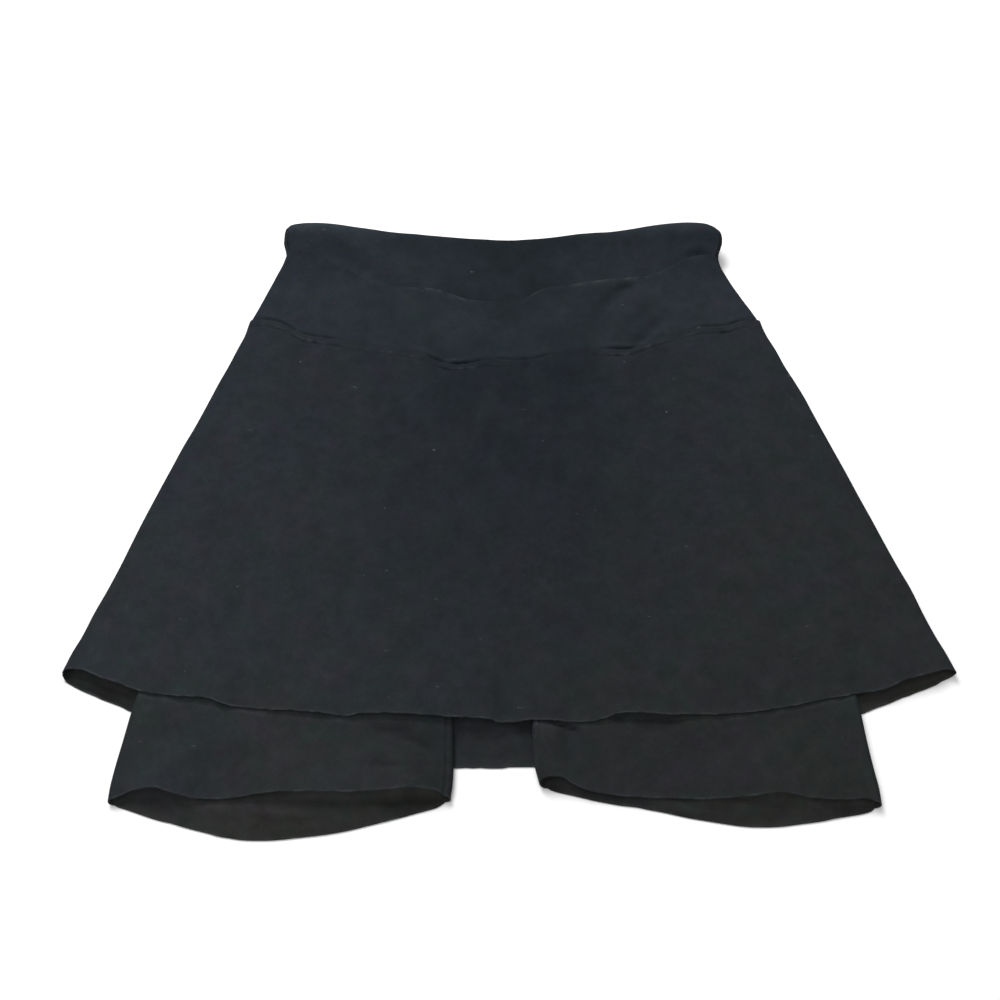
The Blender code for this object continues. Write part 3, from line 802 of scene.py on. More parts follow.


# The panels' shapes. Each takes where its points lie: the share across, the angle round a side fold, which
# is a quarter turn on the flat, the row and the depth. It gives x, y and z, the wear, how far the cloth shows
# its wrong side, and its lightness, which is painted light and shade.


def skirt_shape(sizes, face, share, angle, row, depth):
    """Shares run from -1 to 1 across, and rows from the hem at 0 to the seam at 1."""
    side_y = mix(SKIRT_SIDE_BOTTOM_Y, SEAM_SIDE_Y, row) * MM
    middle, half = sides(SKIRT_SIDES, side_y)
    hem_middle, hem_half = sides(SKIRT_SIDES, SKIRT_SIDE_BOTTOM_Y * MM)
    top_middle, top_half = sides(SKIRT_SIDES, SEAM_SIDE_Y * MM)
    radius = side_height(side_y) / 2
    inner = depth / sizes.cloth
    across = share * (half - radius + (radius - depth) * np.cos(angle)) / half
    x = middle + across * half
    hem_x = hem_middle + across * hem_half
    hem = skirt_hem_y(face, hem_x) + sizes.hem_unevenness * uneven(hem_x, "skirt_hem") * np.sin(angle)
    y = mix(hem, seam_y(face, top_middle + across * top_half) - sizes.seam_gap / 2, row)
    from_edge = y - hem
    depth = round_lip(depth, sizes.cloth, from_edge)
    if face == BACK:
        flat = depth + seam_squeeze(face, x, y)
    else:
        hem_height = line_through(SKIRT_FRONT_HEM, "x", "height", hem_x)
        flat = skirt_level(x, y, hem_height) - depth + hem_curl(sizes, hem_x, from_edge, "skirt")
    z = fold_z(face, angle, radius, flat, sizes.seam_gap)
    wear = bump(from_edge, HEM_WEAR_HALF) * uneven(hem_x, "skirt_wear") + seam_wear(face, x, y)
    # Painted shade along the side folds. On the back, painted light inside the skirt's mouth and along the
    # back's hem, and painted shade in the wearer's right corner and in the hollow between the legs
    light = dimmed(np.cos(angle))
    if face == BACK:
        opened = mouth_light(y, skirt_hem_y(FRONT, x), SKIRT_MOUTH_DEPTH, SKIRT_MOUTH_LIGHT)
        opened = opened - SKIRT_MOUTH_DIM + BACK_HEM_LIGHT * smooth(1 - from_edge / (BACK_HEM_REACH * MM))
        corner = eased(-x - CORNER_X * MM, CORNER_FADE)
        corner = corner * eased(CORNER_DEPTH * MM - from_edge, CORNER_SOFTNESS)
        hollow_shade = creased(CROTCH_HOLLOW_SHADE, x, y) / MM
        light = light * (1 + inner * opened) * (1 - CORNER_DIM * inner * corner) * (1 - inner * hollow_shade)
    inside = inner * eased(abs(x) - WRONG_SIDE_X * MM, WRONG_SIDE_FADE)
    return x, y, pressed(sizes, face, x, y, z), wear, inside, light


def band_shape(sizes, face, share, angle, row, depth):
    """Shares run from -1 to 1 across, and rows from the seam at 0 to the top at 1."""
    side_y = mix(SEAM_SIDE_Y, BAND_SIDE_TOP_Y, row) * MM
    middle, half = sides(BAND_SIDES, side_y)
    seam_middle, seam_half = sides(BAND_SIDES, SEAM_SIDE_Y * MM)
    top_middle, top_half = sides(BAND_SIDES, BAND_SIDE_TOP_Y * MM)
    height = mix(SIDE_HEIGHT, BAND_SIDE_TOP_HEIGHT, row) * MM
    radius = height / 2
    inner = depth / sizes.band_wall
    across = share * (half - radius + (radius - depth) * np.cos(angle)) / half
    outside = share * (half - radius + radius * np.cos(angle)) / half
    top_x = top_middle + outside * top_half
    top = line_through(BAND_FRONT_TOP if face == FRONT else BAND_BACK_TOP, "x", "y", top_x)
    seam = seam_y(face, seam_middle + across * seam_half) + sizes.seam_gap / 2
    y = mix(seam, top, row)
    if face == BACK:
        above = np.clip(y - seam, 0, (BAND_SIDE_TOP_Y - SEAM_SIDE_Y) * MM)
        middle, half = sides(BAND_SIDES, SEAM_SIDE_Y * MM + above)
    x = middle + across * half
    from_edge = (1 - row) * (top - seam)
    depth = round_lip(depth, sizes.band_wall, from_edge)
    if face == FRONT:
        top_height = line_through(BAND_FRONT_TOP, "x", "height", top_x)
        inward = eased(half - abs(x - middle), PLATEAU)
        flat = mix(height, mix(MIDDLE_HEIGHT * MM, top_height, row), inward) - depth
    else:
        flat = depth + seam_squeeze(face, x, y)
        bulge = np.where(share < 0, -LOBE_BULGE["right"], LOBE_BULGE["left"]) * MM
        bulge = bulge * abs(across) ** LOBE_BULGE_POWER
        x = x + bulge * eased(y - LOBE_BULGE_START_Y * MM, LOBE_BULGE_LENGTH)
    z = fold_z(face, angle, radius, flat, sizes.seam_gap) + band_lift(x, y, sizes.lobe_height)
    z = pressed(sizes, face, x, y, z)
    worn = line_through(BAND_FRONT_TOP, "x", "light", top_x) / MM if face == FRONT else BAND_BACK_WEAR
    wear = BAND_WEAR * worn * bump(from_edge, BAND_WEAR_HALF)
    # Painted shade along the side folds, fading near the neck, and along the top edges; painted light and
    # shade in stretches of the band, and painted shade in the hollow behind the front
    fold = np.cos(angle) * (1 - NECK_LIGHT * eased(y - NECK_Y * MM, NECK_FADE))
    light = dimmed(np.maximum(fold, TOP_DIM * bump(from_edge, TOP_DIM_HALF[face])))
    stretches = band_light(face, x)
    if face == BACK:
        stretches = inner * (stretches - creased(BAND_HOLLOW_SHADE, x, y) / MM)
    return x, y, z, wear, np.zeros(x.shape), light * (1 + stretches)


def hem_x_between(leg, place):
    """x at a leg's hem, where place runs from its inner fold at 0 to its outer fold at 1."""
    inner, outer = column(leg["back_hem"], "x")[[0, -1]][:: int(leg["sign"])]
    return mix(inner, outer, place)


def shorts_y(leg, face, place, angle, end_x, row):
    """Plan y of the rows and of the hem. Row 0 is the hem and row 1 lies just past the skirt's back."""
    hem_x = hem_x_between(leg, place)
    hems = {side: line_through(leg[f"{side}_hem"], "x", "y", hem_x) for side in (FRONT, BACK)}
    hem = mix((hems[FRONT] + hems[BACK]) / 2, hems[face], np.sin(angle))
    skirt = skirt_hem_y(BACK, hem_x) - PAST_SKIRT_BACK * MM
    crotch = CROTCH_Y * MM
    waist = seam_y(face, end_x) - SEAM_TUCK * MM
    total = mix(hem, skirt, np.clip(row, 0, 1))
    total = np.where(row > 1, mix(skirt, crotch, np.clip(row - 1, 0, 1)), total)
    return np.where(row > CROTCH_ROW, mix(crotch, waist, np.clip(row - CROTCH_ROW, 0, 1)), total), hem


def shorts_shape(sizes, leg, face, place, angle, row, depth):
    """Places run from the inner fold at 0 to the outer fold at 1."""
    sign = leg["sign"]
    wrong_side = depth / sizes.cloth
    side_x = sign * (SKIRT_SIDES[-1][2] * MM - sizes.cloth - sizes.seam_gap)
    y, hem = shorts_y(leg, face, place, angle, side_x * place, row)
    inner_y = shorts_y(leg, face, 0.0, 0.0, 0.0, row)[0]
    outer_y = shorts_y(leg, face, 1.0, 0.0, side_x, row)[0]
    parting = eased(CROTCH_Y * MM - inner_y, PARTING_LENGTH)
    spread = CENTRE_SPREAD * MM
    centre = CENTRE_X * MM * np.clip((SEAM_SIDE_Y * MM - inner_y) / ((SEAM_SIDE_Y - CROTCH_Y) * MM), 0, 1)
    centre = centre + sign * (sizes.seam_gap / 2 + spread)
    inner = mix(centre, line_through(leg["inner"], "y", "x", inner_y), parting)
    hip = np.clip((outer_y - LEG_TOP_Y * MM) / ((SEAM_SIDE_Y - LEG_TOP_Y) * MM), 0, 1)
    thigh_x = line_through(leg["outer"], "y", "x", outer_y)
    outer = np.where(hip > 0, mix(column(leg["outer"], "x")[-1], side_x, hip), thigh_x)
    toward_hem = smooth((CROTCH_Y * MM - outer_y) / (CROTCH_Y * MM - column(leg["back_hem"], "y").max()))
    under = SIDE_HEIGHT * MM - 2 * (sizes.cloth + sizes.layer_gap)
    inner_radius = mix(under, leg["inner_height"] * MM, toward_hem) / 2
    outer_radius = mix(under, leg["outer_height"] * MM, toward_hem) / 2
    flat_x = mix(inner + sign * inner_radius * parting, outer - sign * outer_radius, place)
    inner_reach = mix(spread, inner_radius - depth, parting)
    at_outer_fold = place > 0.5
    x = flat_x + np.cos(angle) * sign * np.where(at_outer_fold, outer_radius - depth, -inner_reach)
    from_edge = y - hem
    depth = round_lip(depth, sizes.cloth, from_edge)
    base = (sizes.cloth + sizes.layer_gap) * smooth(row)
    near_seam = smooth(1 - (seam_y(face, x) - y) / (SEAM_ROOM_REACH * MM))
    if face == FRONT:
        hem_height = line_through(leg["front_hem"], "x", "height", hem_x_between(leg, place))
        ceiling = skirt_level(x, y, SHORTS_AT_SKIRT_HEM * MM) - sizes.cloth - sizes.layer_gap
        ceiling = ceiling - SHORTS_SLACK * MM
        outward = (ceiling - base - 2 * outer_radius) * (1 - eased(abs(outer - x), LEG_PLATEAU))
        inward = (ceiling - base - 2 * inner_radius) * (1 - eased(abs(x - inner), LEG_PLATEAU)) * parting
        toward_side = 1 - eased(abs(outer - x), 2 * LEG_PLATEAU)
        room = SEAM_ROOM_FRONT * MM * near_seam * (1 - SEAM_ROOM_SIDE * toward_side)
        below_skirt = smooth(1 - from_edge / (LEG_RISE * MM))
        flat = mix(ceiling - outward - inward - room, hem_height, below_skirt) - depth
        flat = flat + hem_curl(sizes, x, from_edge, "leg")
    else:
        folds = np.clip(creased(MOUTH_FOLDS, x, y), 0, None)
        flat = base + depth + folds + SEAM_ROOM_BACK * MM * near_seam
    z = fold_z(face, angle, base + np.where(at_outer_fold, outer_radius, inner_radius), flat, sizes.seam_gap)
    z = np.where(place > 0, z, mix(flat, z, parting))
    z = pressed(sizes, BACK, x, y, z)
    # Painted shade along the folds, in the creases' troughs and beside the inseam; painted light below the
    # skirt's hem and inside the mouths, with some painted shade there too
    fold = np.cos(angle) * mix(leg["inner_fold"], 1.0, place)
    if face == FRONT:
        creases = creased(LEG_CREASES, x, y) * eased(LEG_CREASES_START_Y * MM - y, LEG_CREASES_FADE)
        z = z + inseam_relief(leg, x, y) + creases * sizes.crease_strength
        trough = np.clip(-creases / (TROUGH_SHADE_DEPTH * MM), 0, TROUGH_SHADE_MOST)
        # Painted shade on the cloth beside the inseam, standing in for the shade of its puckers
        drawn = bump(abs(x - inner) - INNER_SHADE_PLACE * MM, INNER_SHADE_HALF)
        drawn = leg["inner_shade"] * drawn * eased(from_edge, INNER_SHADE_FADE)
        hem_loft = line_through(SKIRT_FRONT_HEM, "x", "height", x) / MM - HEM_SHADOW_LOFT
        shadow = np.maximum(HEM_SHADOW + HEM_SHADOW_GROWTH * hem_loft, HEM_SHADOW_LEAST)
        light = dimmed(np.maximum(fold, trough + drawn))
        light = light * (1 + mouth_light(y, skirt_hem_y(FRONT, x), shadow, LEG_LIGHT))
    else:
        strength, dim, reach = (
            line_through(leg["mouth"], "x", name, x) / MM for name in ("light", "dim", "depth")
        )
        opened = mouth_light(y, line_through(leg["front_hem"], "x", "y", x), reach, strength) - dim
        light = dimmed(fold) * (1 + wrong_side * opened)
    wear = bump(from_edge, HEM_WEAR_HALF) * uneven(x, "leg_wear")
    return x, y, z, wear, wrong_side * leg["wrong_side"], light


# Making a panel


def mesh_of(name, made):
    """A mesh from a bmesh, which is then freed."""
    mesh = bpy.data.meshes.new(name)
    made.to_mesh(mesh)
    made.free()
    return mesh


def in_scene(name, data):
    """An object at the origin that holds this data."""
    added = bpy.data.objects.new(name, data)
    bpy.context.scene.collection.objects.link(added)
    return added


def stops(length, step, start, end):
    """Rising shares of a length, close together at its ends where the given distances say so."""
    first, last = start[-1], length - end[-1]
    between = np.linspace(first, last, max(2, round((last - first) / step)) + 1)[1:-1]
    return np.concatenate([start, between, length - np.array(end[::-1])]) / length


def fold_columns(places):
    """Places across the flat, with the angles round a side fold added at each end."""
    turn = np.linspace(0, FLAT, FOLD_STEPS + 1)[:-1]
    share = np.concatenate([np.full(FOLD_STEPS, places[0]), places, np.full(FOLD_STEPS, places[-1])])
    angle = np.concatenate([turn, np.full(len(places), FLAT), turn[::-1]])
    return share, angle


def run_along(axis, *grids):
    """Distance along the cloth from a grid's first line."""
    moves = (np.diff(grid, axis=axis, prepend=grid.take([0], axis=axis)) for grid in grids)
    return np.cumsum(np.hypot(*moves), axis=axis)


def unrolled(across, along, x, y, z):
    """Each grid point's place on the flat cloth, in metres: fair round folds and over ridges."""
    grid_x, grid_y, grid_z = (np.zeros((along.max() + 1, across.max() + 1)) for _ in range(3))
    grid_x[along, across], grid_y[along, across], grid_z[along, across] = x, y, z
    middle = grid_x.shape[1] // 2
    run = run_along(1, grid_x, grid_z)
    side = np.sign(grid_x[:, -1:] - grid_x[:, :1])
    flat_x = grid_x[:, middle : middle + 1] + side * (run - run[:, middle : middle + 1])
    return flat_x, grid_y[:1] + run_along(0, grid_y, grid_z)


def make_panel(name, face, columns, rows, wall, shape, material, mirrored=False):
    """A level slab on a grid, moved to the panel's own points."""
    share, angle = columns
    slab = bmesh.new()
    bmesh.ops.create_grid(slab, x_segments=len(share) - 1, y_segments=len(rows) - 1, size=1.0)
    bmesh.ops.solidify(slab, geom=slab.faces[:], thickness=wall)
    if mirrored:
        bmesh.ops.reverse_faces(slab, faces=slab.faces[:])
    mesh = mesh_of(name, slab)
    level = np.zeros(len(mesh.vertices) * 3)
    mesh.vertices.foreach_get("co", level)
    level = level.reshape(-1, 3)
    across, along = (
        np.rint((level[:, axis] + 1) / 2 * (len(lines) - 1)).astype(int)
        for axis, lines in ((0, share), (1, rows))
    )
    outside = level[:, 2].max() if face == FRONT else level[:, 2].min()
    depth = abs(level[:, 2] - outside)
    x, y, z, wear, inside, light = shape(share[across], angle[across], rows[along], depth)
    mesh.vertices.foreach_set("co", np.stack([x, y, z], axis=1).ravel())
    outer = depth < wall / 2
    grain_x, grain_y = unrolled(across[outer], along[outer], x[outer], y[outer], z[outer])
    corner = np.zeros(len(mesh.loops), int)
    mesh.loops.foreach_get("vertex_index", corner)
    grain = np.stack([grain_x[along, across][corner], grain_y[along, across][corner]], axis=1)
    mesh.uv_layers.new(name="grain").data.foreach_set("uv", grain.ravel())
    for attribute, values in (("wear", np.clip(wear, 0, 1)), ("inside", inside), ("light", light)):
        mesh.attributes.new(attribute, "FLOAT", "POINT").data.foreach_set("value", values)
    mesh.update()
    mesh.shade_smooth()
    mesh.materials.append(material)
    return in_scene(name, mesh)


def lay_on(piece, node):
    """Attaches a panel to the root body and hides the solid that it stands for."""
    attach(piece, "root")
    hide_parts(node)


# Stitches


def spaced_line(line, pitch):
    """Points at even distances along a fine plan line."""
    along = np.concatenate([[0], np.cumsum(np.hypot(*np.diff(line, axis=0).T))])
    at = np.arange(0, along[-1], pitch)
    return np.stack([np.interp(at, along, line[:, 0]), np.interp(at, along, line[:, 1])], axis=1)


def stitch_row(name, panel, line, sizes, material):
    """Short stitches along a plan line, lying in the panel's upper face."""
    tree = BVHTree.FromObject(bpy.data.objects[panel], bpy.context.evaluated_depsgraph_get())
    points = spaced_line(line, sizes.stitch_pitch)
    width = sizes.stitch_width
    size = Matrix.Diagonal((sizes.stitch_length / 2, width / 2, width / 2, 1.0))
    laid = bmesh.new()
    for (x, y), (next_x, next_y) in zip(points[:-1], points[1:]):
        over = Vector(((x + next_x) / 2, (y + next_y) / 2, DROP_HEIGHT))
        place, normal, _, _ = tree.ray_cast(over, Vector((0, 0, -1)))
        if place is None:
            raise RuntimeError(f"{name} runs off its panel")
        run = Vector((next_x - x, next_y - y, 0)).normalized()
        run = (run - normal * run.dot(normal)).normalized()
        turn = Matrix((run, normal.cross(run), normal)).transposed().to_4x4()
        lift = Matrix.Translation(place + normal * width * STITCH_PROUD)
        bmesh.ops.create_uvsphere(
            laid, u_segments=8, v_segments=5, radius=1.0,
            matrix=lift @ turn @ size @ Matrix.Rotation(FLAT, 4, "Y"))
    mesh = mesh_of(name, laid)
    mesh.shade_smooth()
    mesh.materials.append(material)
    row = in_scene(name, mesh)
    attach(row, "root")


# Materials


class Nodes:
    """Short hand for adding and linking the nodes of a new material."""

    def __init__(self, name):
        self.material = bpy.data.materials.new(name)
        self.material.use_nodes = True
        self.tree = self.material.node_tree
        self.shader = self.tree.nodes["Principled BSDF"]

    def add(self, kind, settings=(), **inputs):
        """A node with its settings; an input is given by its name, or as i0 or i1 by its place."""
        node = self.tree.nodes.new(kind)
        for name, value in dict(settings).items():
            setattr(node, name, value)
        for name, value in inputs.items():
            self.put(node.inputs[int(name[1:]) if name[1:].isdigit() else name.replace("_", " ")], value)
        return node

    def put(self, socket, value):
        if isinstance(value, bpy.types.NodeSocket):
            self.tree.links.new(value, socket)
        else:
            socket.default_value = value

    def set(self, **inputs):
        """Sets or links the shader's own inputs."""
        for name, value in inputs.items():
            self.put(self.shader.inputs[name.replace("_", " ")], value)

    def maths(self, operation, *values):
        node = self.add("ShaderNodeMath", {"operation": operation})
        for socket, value in zip(node.inputs, values):
            self.put(socket, value)
        return node.outputs[0]

    def times(self, first, *others):
        for other in others:
            first = self.maths("MULTIPLY", first, other)
        return first

    def vector(self, operation, first, second):
        """The node itself, because its results have different names."""
        return self.add("ShaderNodeVectorMath", {"operation": operation}, i0=first, i1=second)

    def blend(self, share, first, second, blend_type="MIX"):
        node = self.add("ShaderNodeMix", {"data_type": "RGBA", "blend_type": blend_type})
        for name, value in (("Factor", share), ("A", first), ("B", second)):
            self.put(node.inputs[name], value)
        return node.outputs["Result"]

    def spread(self, value, low, high, to_low=0.0, to_high=1.0):
        """A value spread from one range to another, and held inside it."""
        limits = {"From_Min": low, "From_Max": high, "To_Min": to_low, "To_Max": to_high}
        return self.add("ShaderNodeMapRange", Value=value, **limits).outputs["Result"]

    def grey(self, value):
        return self.add("ShaderNodeCombineColor", Red=value, Green=value, Blue=value).outputs[0]

    def noise(self, place, name):
        scale, detail, roughness = PATTERNS[name]
        node = self.add("ShaderNodeTexNoise", Vector=place, Scale=scale, Detail=detail, Roughness=roughness)
        return node.outputs["Fac"]


def opaque(colour):
    return tuple(colour) + (1.0,)


def tinted(colour, red, green, blue):
    """A colour with each part multiplied by its own share."""
    return (colour[0] * red, colour[1] * green, colour[2] * blue, 1.0)


def shade(colour, share):
    return tinted(colour, share, share, share)


def stockinette(nodes, place, wale, course):
    """Height of a plain knit: columns of small V stitches."""
    apart = nodes.add("ShaderNodeSeparateXYZ", Vector=place)
    across = nodes.maths("FRACT", nodes.maths("DIVIDE", apart.outputs["X"], wale))
    in_column = nodes.maths("ABSOLUTE", nodes.maths("SUBTRACT", across, 0.5))
    up = nodes.maths("DIVIDE", apart.outputs["Y"], course)
    leaning = nodes.maths("ADD", up, nodes.times(in_column, 1.6))
    yarn = nodes.maths("SINE", nodes.times(leaning, 2 * math.pi))
    valley = nodes.times(nodes.maths("ABSOLUTE", nodes.maths("SUBTRACT", in_column, 0.25)), -2.0)
    return nodes.maths("ADD", nodes.times(yarn, 0.35), valley)


def dye(nodes, place, colour, deep_shares, deep_middle):
    """Bluer to the wearer's upper right, greyer to the lower left, patchy, deepest in the middle, and lighter
    to the wearer's lower right as painted light.
    """
    apart = nodes.add("ShaderNodeSeparateXYZ", Vector=place)
    lean = nodes.maths("MULTIPLY_ADD", apart.outputs["X"], 1.2, 0.45)
    lean = nodes.maths("MULTIPLY_ADD", apart.outputs["Y"], -2.2, lean)
    cloud = nodes.maths("MULTIPLY_ADD", nodes.noise(place, "clouds"), 2.0, -1.0)
    lean = nodes.spread(nodes.maths("ADD", lean, cloud), -0.2, 1.2)
    tone = nodes.blend(lean, tinted(colour, *NAVY), tinted(colour, *GREY))
    patches = nodes.noise(place, "patches")
    for start, end, shares in ((0.52, 0.70, VIOLET), (0.48, 0.30, GREEN)):
        tone = nodes.blend(nodes.spread(patches, start, end), tone, tinted(colour, *shares))
    middle = nodes.vector("SUBTRACT", place, DEEP_CENTRE).outputs[0]
    middle = nodes.vector("DIVIDE", middle, DEEP_HALF).outputs[0]
    away = nodes.vector("DOT_PRODUCT", middle, middle).outputs["Value"]
    near = nodes.maths("EXPONENT", nodes.times(away, -1.0))
    deep = nodes.times(near, nodes.spread(nodes.noise(place, "deep_middle"), 0.3, 0.6, 0.4, 1.05))
    tone = nodes.blend(nodes.times(deep, deep_middle), tone, tinted(colour, *deep_shares))
    # Painted light: the cloth grows lighter towards the wearer's lower right, standing in for light falling
    # from that side
    painted_light_gradient = nodes.maths("MULTIPLY_ADD", apart.outputs["X"], -1.6, -0.1)
    painted_light_gradient = nodes.maths("MAXIMUM", nodes.maths("MULTIPLY_ADD", apart.outputs["Y"], -1.2, painted_light_gradient), 0.0)
    return nodes.blend(1.0, tone, nodes.grey(nodes.maths("MULTIPLY_ADD", painted_light_gradient, 0.35, 1.0)), "MULTIPLY")


def lint_over(nodes, place, tone, finish):
    """Small pale specks and short bent fibres."""
    wander = nodes.add("ShaderNodeTexNoise", Vector=place, Scale=500.0, Detail=1.0).outputs["Color"]
    bent = nodes.add("ShaderNodeMix", {"data_type": "VECTOR"}, i0=0.004, i4=place, i5=wander)
    for scale, squeeze, radius, share in LINT:
        drawn = nodes.vector("MULTIPLY", bent.outputs[1], (squeeze, 1.0, 1.0))
        cells = nodes.add("ShaderNodeTexVoronoi", Vector=drawn.outputs[0], Scale=scale)
        speck = nodes.spread(cells.outputs["Distance"], radius, radius * 0.3)
        parts = nodes.add("ShaderNodeSeparateColor", Color=cells.outputs["Color"])
        kept = nodes.maths("LESS_THAN", parts.outputs["Red"], share)
        speck = nodes.times(speck, kept, parts.outputs["Green"], finish.lint)
        tone = nodes.blend(speck, tone, opaque(finish.lint_colour))
    return tone


def jersey(name, colour, finish, deep_shares=DEEP_SKIRT):
    """Matt knitted jersey: melange, lint, worn edges, V stitches outside, a browner wrong side, painted light
    and shade.
    """
    nodes = Nodes(name)
    nodes.material.diffuse_color = colour
    place = nodes.add("ShaderNodeTexCoord").outputs["Object"]
    grain = nodes.add("ShaderNodeUVMap", {"uv_map": "grain"}).outputs[0]
    inside, wear, light = (
        nodes.add("ShaderNodeAttribute", {"attribute_name": attribute}).outputs["Fac"]
        for attribute in ("inside", "wear", "light")
    )
    tone = dye(nodes, place, colour, deep_shares, finish.deep_middle)
    for pattern in ("mottle", "smudges", "melange"):
        strength = getattr(finish, pattern)
        marks = nodes.spread(nodes.noise(place, pattern), 0.3, 0.7, 1 - strength, 1 + strength)
        tone = nodes.blend(1.0, tone, nodes.grey(marks), "MULTIPLY")
    wrong_side = nodes.times(inside, nodes.spread(nodes.noise(place, "wrong_side"), 0.35, 0.65, 0.6, 1.0))
    tone = nodes.blend(nodes.times(wrong_side, finish.inside_change), tone, WRONG_SIDE, "MULTIPLY")
    # Painted light and shade: the light attribute darkens the colour along folds and in hollows and lightens
    # it inside the mouths
    lit = nodes.maths("MULTIPLY_ADD", nodes.maths("SUBTRACT", light, 1.0), finish.shading, 1.0)
    tone = nodes.blend(1.0, tone, nodes.grey(lit), "MULTIPLY")
    worn = nodes.times(
        nodes.spread(nodes.noise(place, "wear"), 0.32, 0.55),
        nodes.spread(nodes.noise(place, "fluff"), 0.3, 0.6, 0.4, 1.0))
    tone = nodes.blend(nodes.times(wear, worn, finish.edge_wear), tone, opaque(finish.fuzz_colour))
    tone = lint_over(nodes, place, tone, finish)
    roughness = nodes.spread(nodes.noise(place, "matt"), 0.3, 0.7, 0.86, 0.98)
    knit = stockinette(nodes, grain, finish.wale, finish.course)
    fuzz = nodes.noise(place, "fuzz")
    bumps = nodes.add("ShaderNodeBump", Height=knit, Strength=0.3, Distance=0.0002)
    bumps = nodes.add("ShaderNodeBump", Height=fuzz, Strength=0.3, Distance=0.0004, Normal=bumps.outputs[0])
    nodes.set(
        Base_Color=tone, Roughness=roughness, Specular_IOR_Level=0.05, Sheen_Weight=0.03, Sheen_Roughness=0.6,
        Sheen_Tint=(0.55, 0.62, 0.75, 1.0), Normal=bumps.outputs[0])
    return nodes.material


def thread(name, colour):
    """Twisted polyester thread."""
    nodes = Nodes(name)
    nodes.material.diffuse_color = colour
    place = nodes.add("ShaderNodeTexCoord").outputs["Object"]
    twist = nodes.noise(place, "twist")
    roughness = nodes.spread(twist, 0.3, 0.7, 0.75, 0.9)
    ridges = nodes.add("ShaderNodeBump", Height=twist, Strength=0.3, Distance=0.0001).outputs[0]
    tone = nodes.blend(twist, shade(colour, 0.7), shade(colour, 1.3))
    nodes.set(Base_Color=tone, Roughness=roughness, Specular_IOR_Level=0.15, Normal=ridges)
    return nodes.material


def floor_finish(name, colour):
    """Smooth matt paper with a trace of grain."""
    nodes = Nodes(name)
    place = nodes.add("ShaderNodeTexCoord").outputs["Object"]
    grain = nodes.noise(place, "paper")
    tone = nodes.blend(grain, shade(colour, 0.995), shade(colour, 1.005))
    nodes.set(Base_Color=tone, Roughness=0.9, Specular_IOR_Level=0.1)
    return nodes.material


# Settings


def length_setting(name, description, default, precision=4):
    return bpy.props.FloatProperty(
        name=name, description=description, default=default, unit="LENGTH", precision=precision)


def share_setting(name, description, default, most=1.0):
    return bpy.props.FloatProperty(
        name=name, description=description, default=default, min=0.0, max=most, subtype="FACTOR")


def colour_setting(name, description, default):
    return bpy.props.FloatVectorProperty(name=name, description=description, default=default, subtype="COLOR")


class SkortSizes(bpy.types.PropertyGroup):
    """Sizes of the cloth and its lie."""

    cloth: length_setting("Cloth", "Thickness of one layer of jersey", 0.0012)
    band_wall: length_setting("Waistband", "Thickness of the folded waistband", 0.0027)
    seam_gap: length_setting("Seam", "Width of a closed seam", 0.0001, 5)
    layer_gap: length_setting("Between layers", "Air between two layers", 0.0003, 5)
    lobe_height: length_setting("Curl", "Height of the waistband's curled side folds", 0.0265)
    hem_unevenness: length_setting("Uneven hems", "How far cut edges wander", 0.0005)
    crease_strength: share_setting("Creases", "Strength of the creases and slow waves", 1.0, 2.0)
    stitch_length: length_setting("Stitch length", "Length of one topstitch", 0.0023)
    stitch_pitch: length_setting("Stitch pitch", "Distance from stitch to stitch", 0.0029)
    stitch_width: length_setting("Thread", "Thickness of the sewing thread", 0.00045, 5)


class SkortFinish(bpy.types.PropertyGroup):
    """Colours and surface of the cloth."""

    band_colour: colour_setting("Waistband", "Colour of the waistband", (0.0170, 0.0199, 0.0238))
    skirt_colour: colour_setting("Skirt", "Colour of the skirt", (0.0150, 0.0170, 0.0192))
    shorts_colour: colour_setting("Shorts", "Colour of the shorts", (0.0152, 0.0168, 0.0187))
    thread_colour: colour_setting("Thread", "Colour of the topstitching", (0.0160, 0.0185, 0.0220))
    fuzz_colour: colour_setting("Worn edges", "Colour of fuzz on cut and folded edges", (0.075, 0.080, 0.085))
    lint_colour: colour_setting("Lint", "Colour of lint on the cloth", (0.062, 0.069, 0.071))
    floor_colour: colour_setting("Floor", "Colour of the floor", (0.90, 0.90, 0.90))
    wale: length_setting("Wale", "Width of one knitted column", 0.00085, 5)
    course: length_setting("Course", "Height of one knitted row", 0.0007, 5)
    smudges: share_setting("Smudges", "Small lighter and darker marks", 0.07)
    mottle: share_setting("Mottling", "Light and dark patches", 0.16)
    melange: share_setting("Melange", "Fine mix of light and dark yarn", 0.12)
    deep_middle: share_setting("Deep middle", "Deeper dye at the skirt's middle", 1.0)
    # Strength of the painted shade along folds and the painted light inside the mouths
    shading: share_setting("Shading", "Darker cloth along the folds and lighter cloth inside the mouths", 1.0)
    edge_wear: share_setting("Edge wear", "Fuzz along cut and folded edges", 0.75)
    inside_change: share_setting("Wrong side", "How far the inside differs in colour", 1.0)
    lint: share_setting("Lint amount", "How strongly lint shows", 0.9)


# Operators


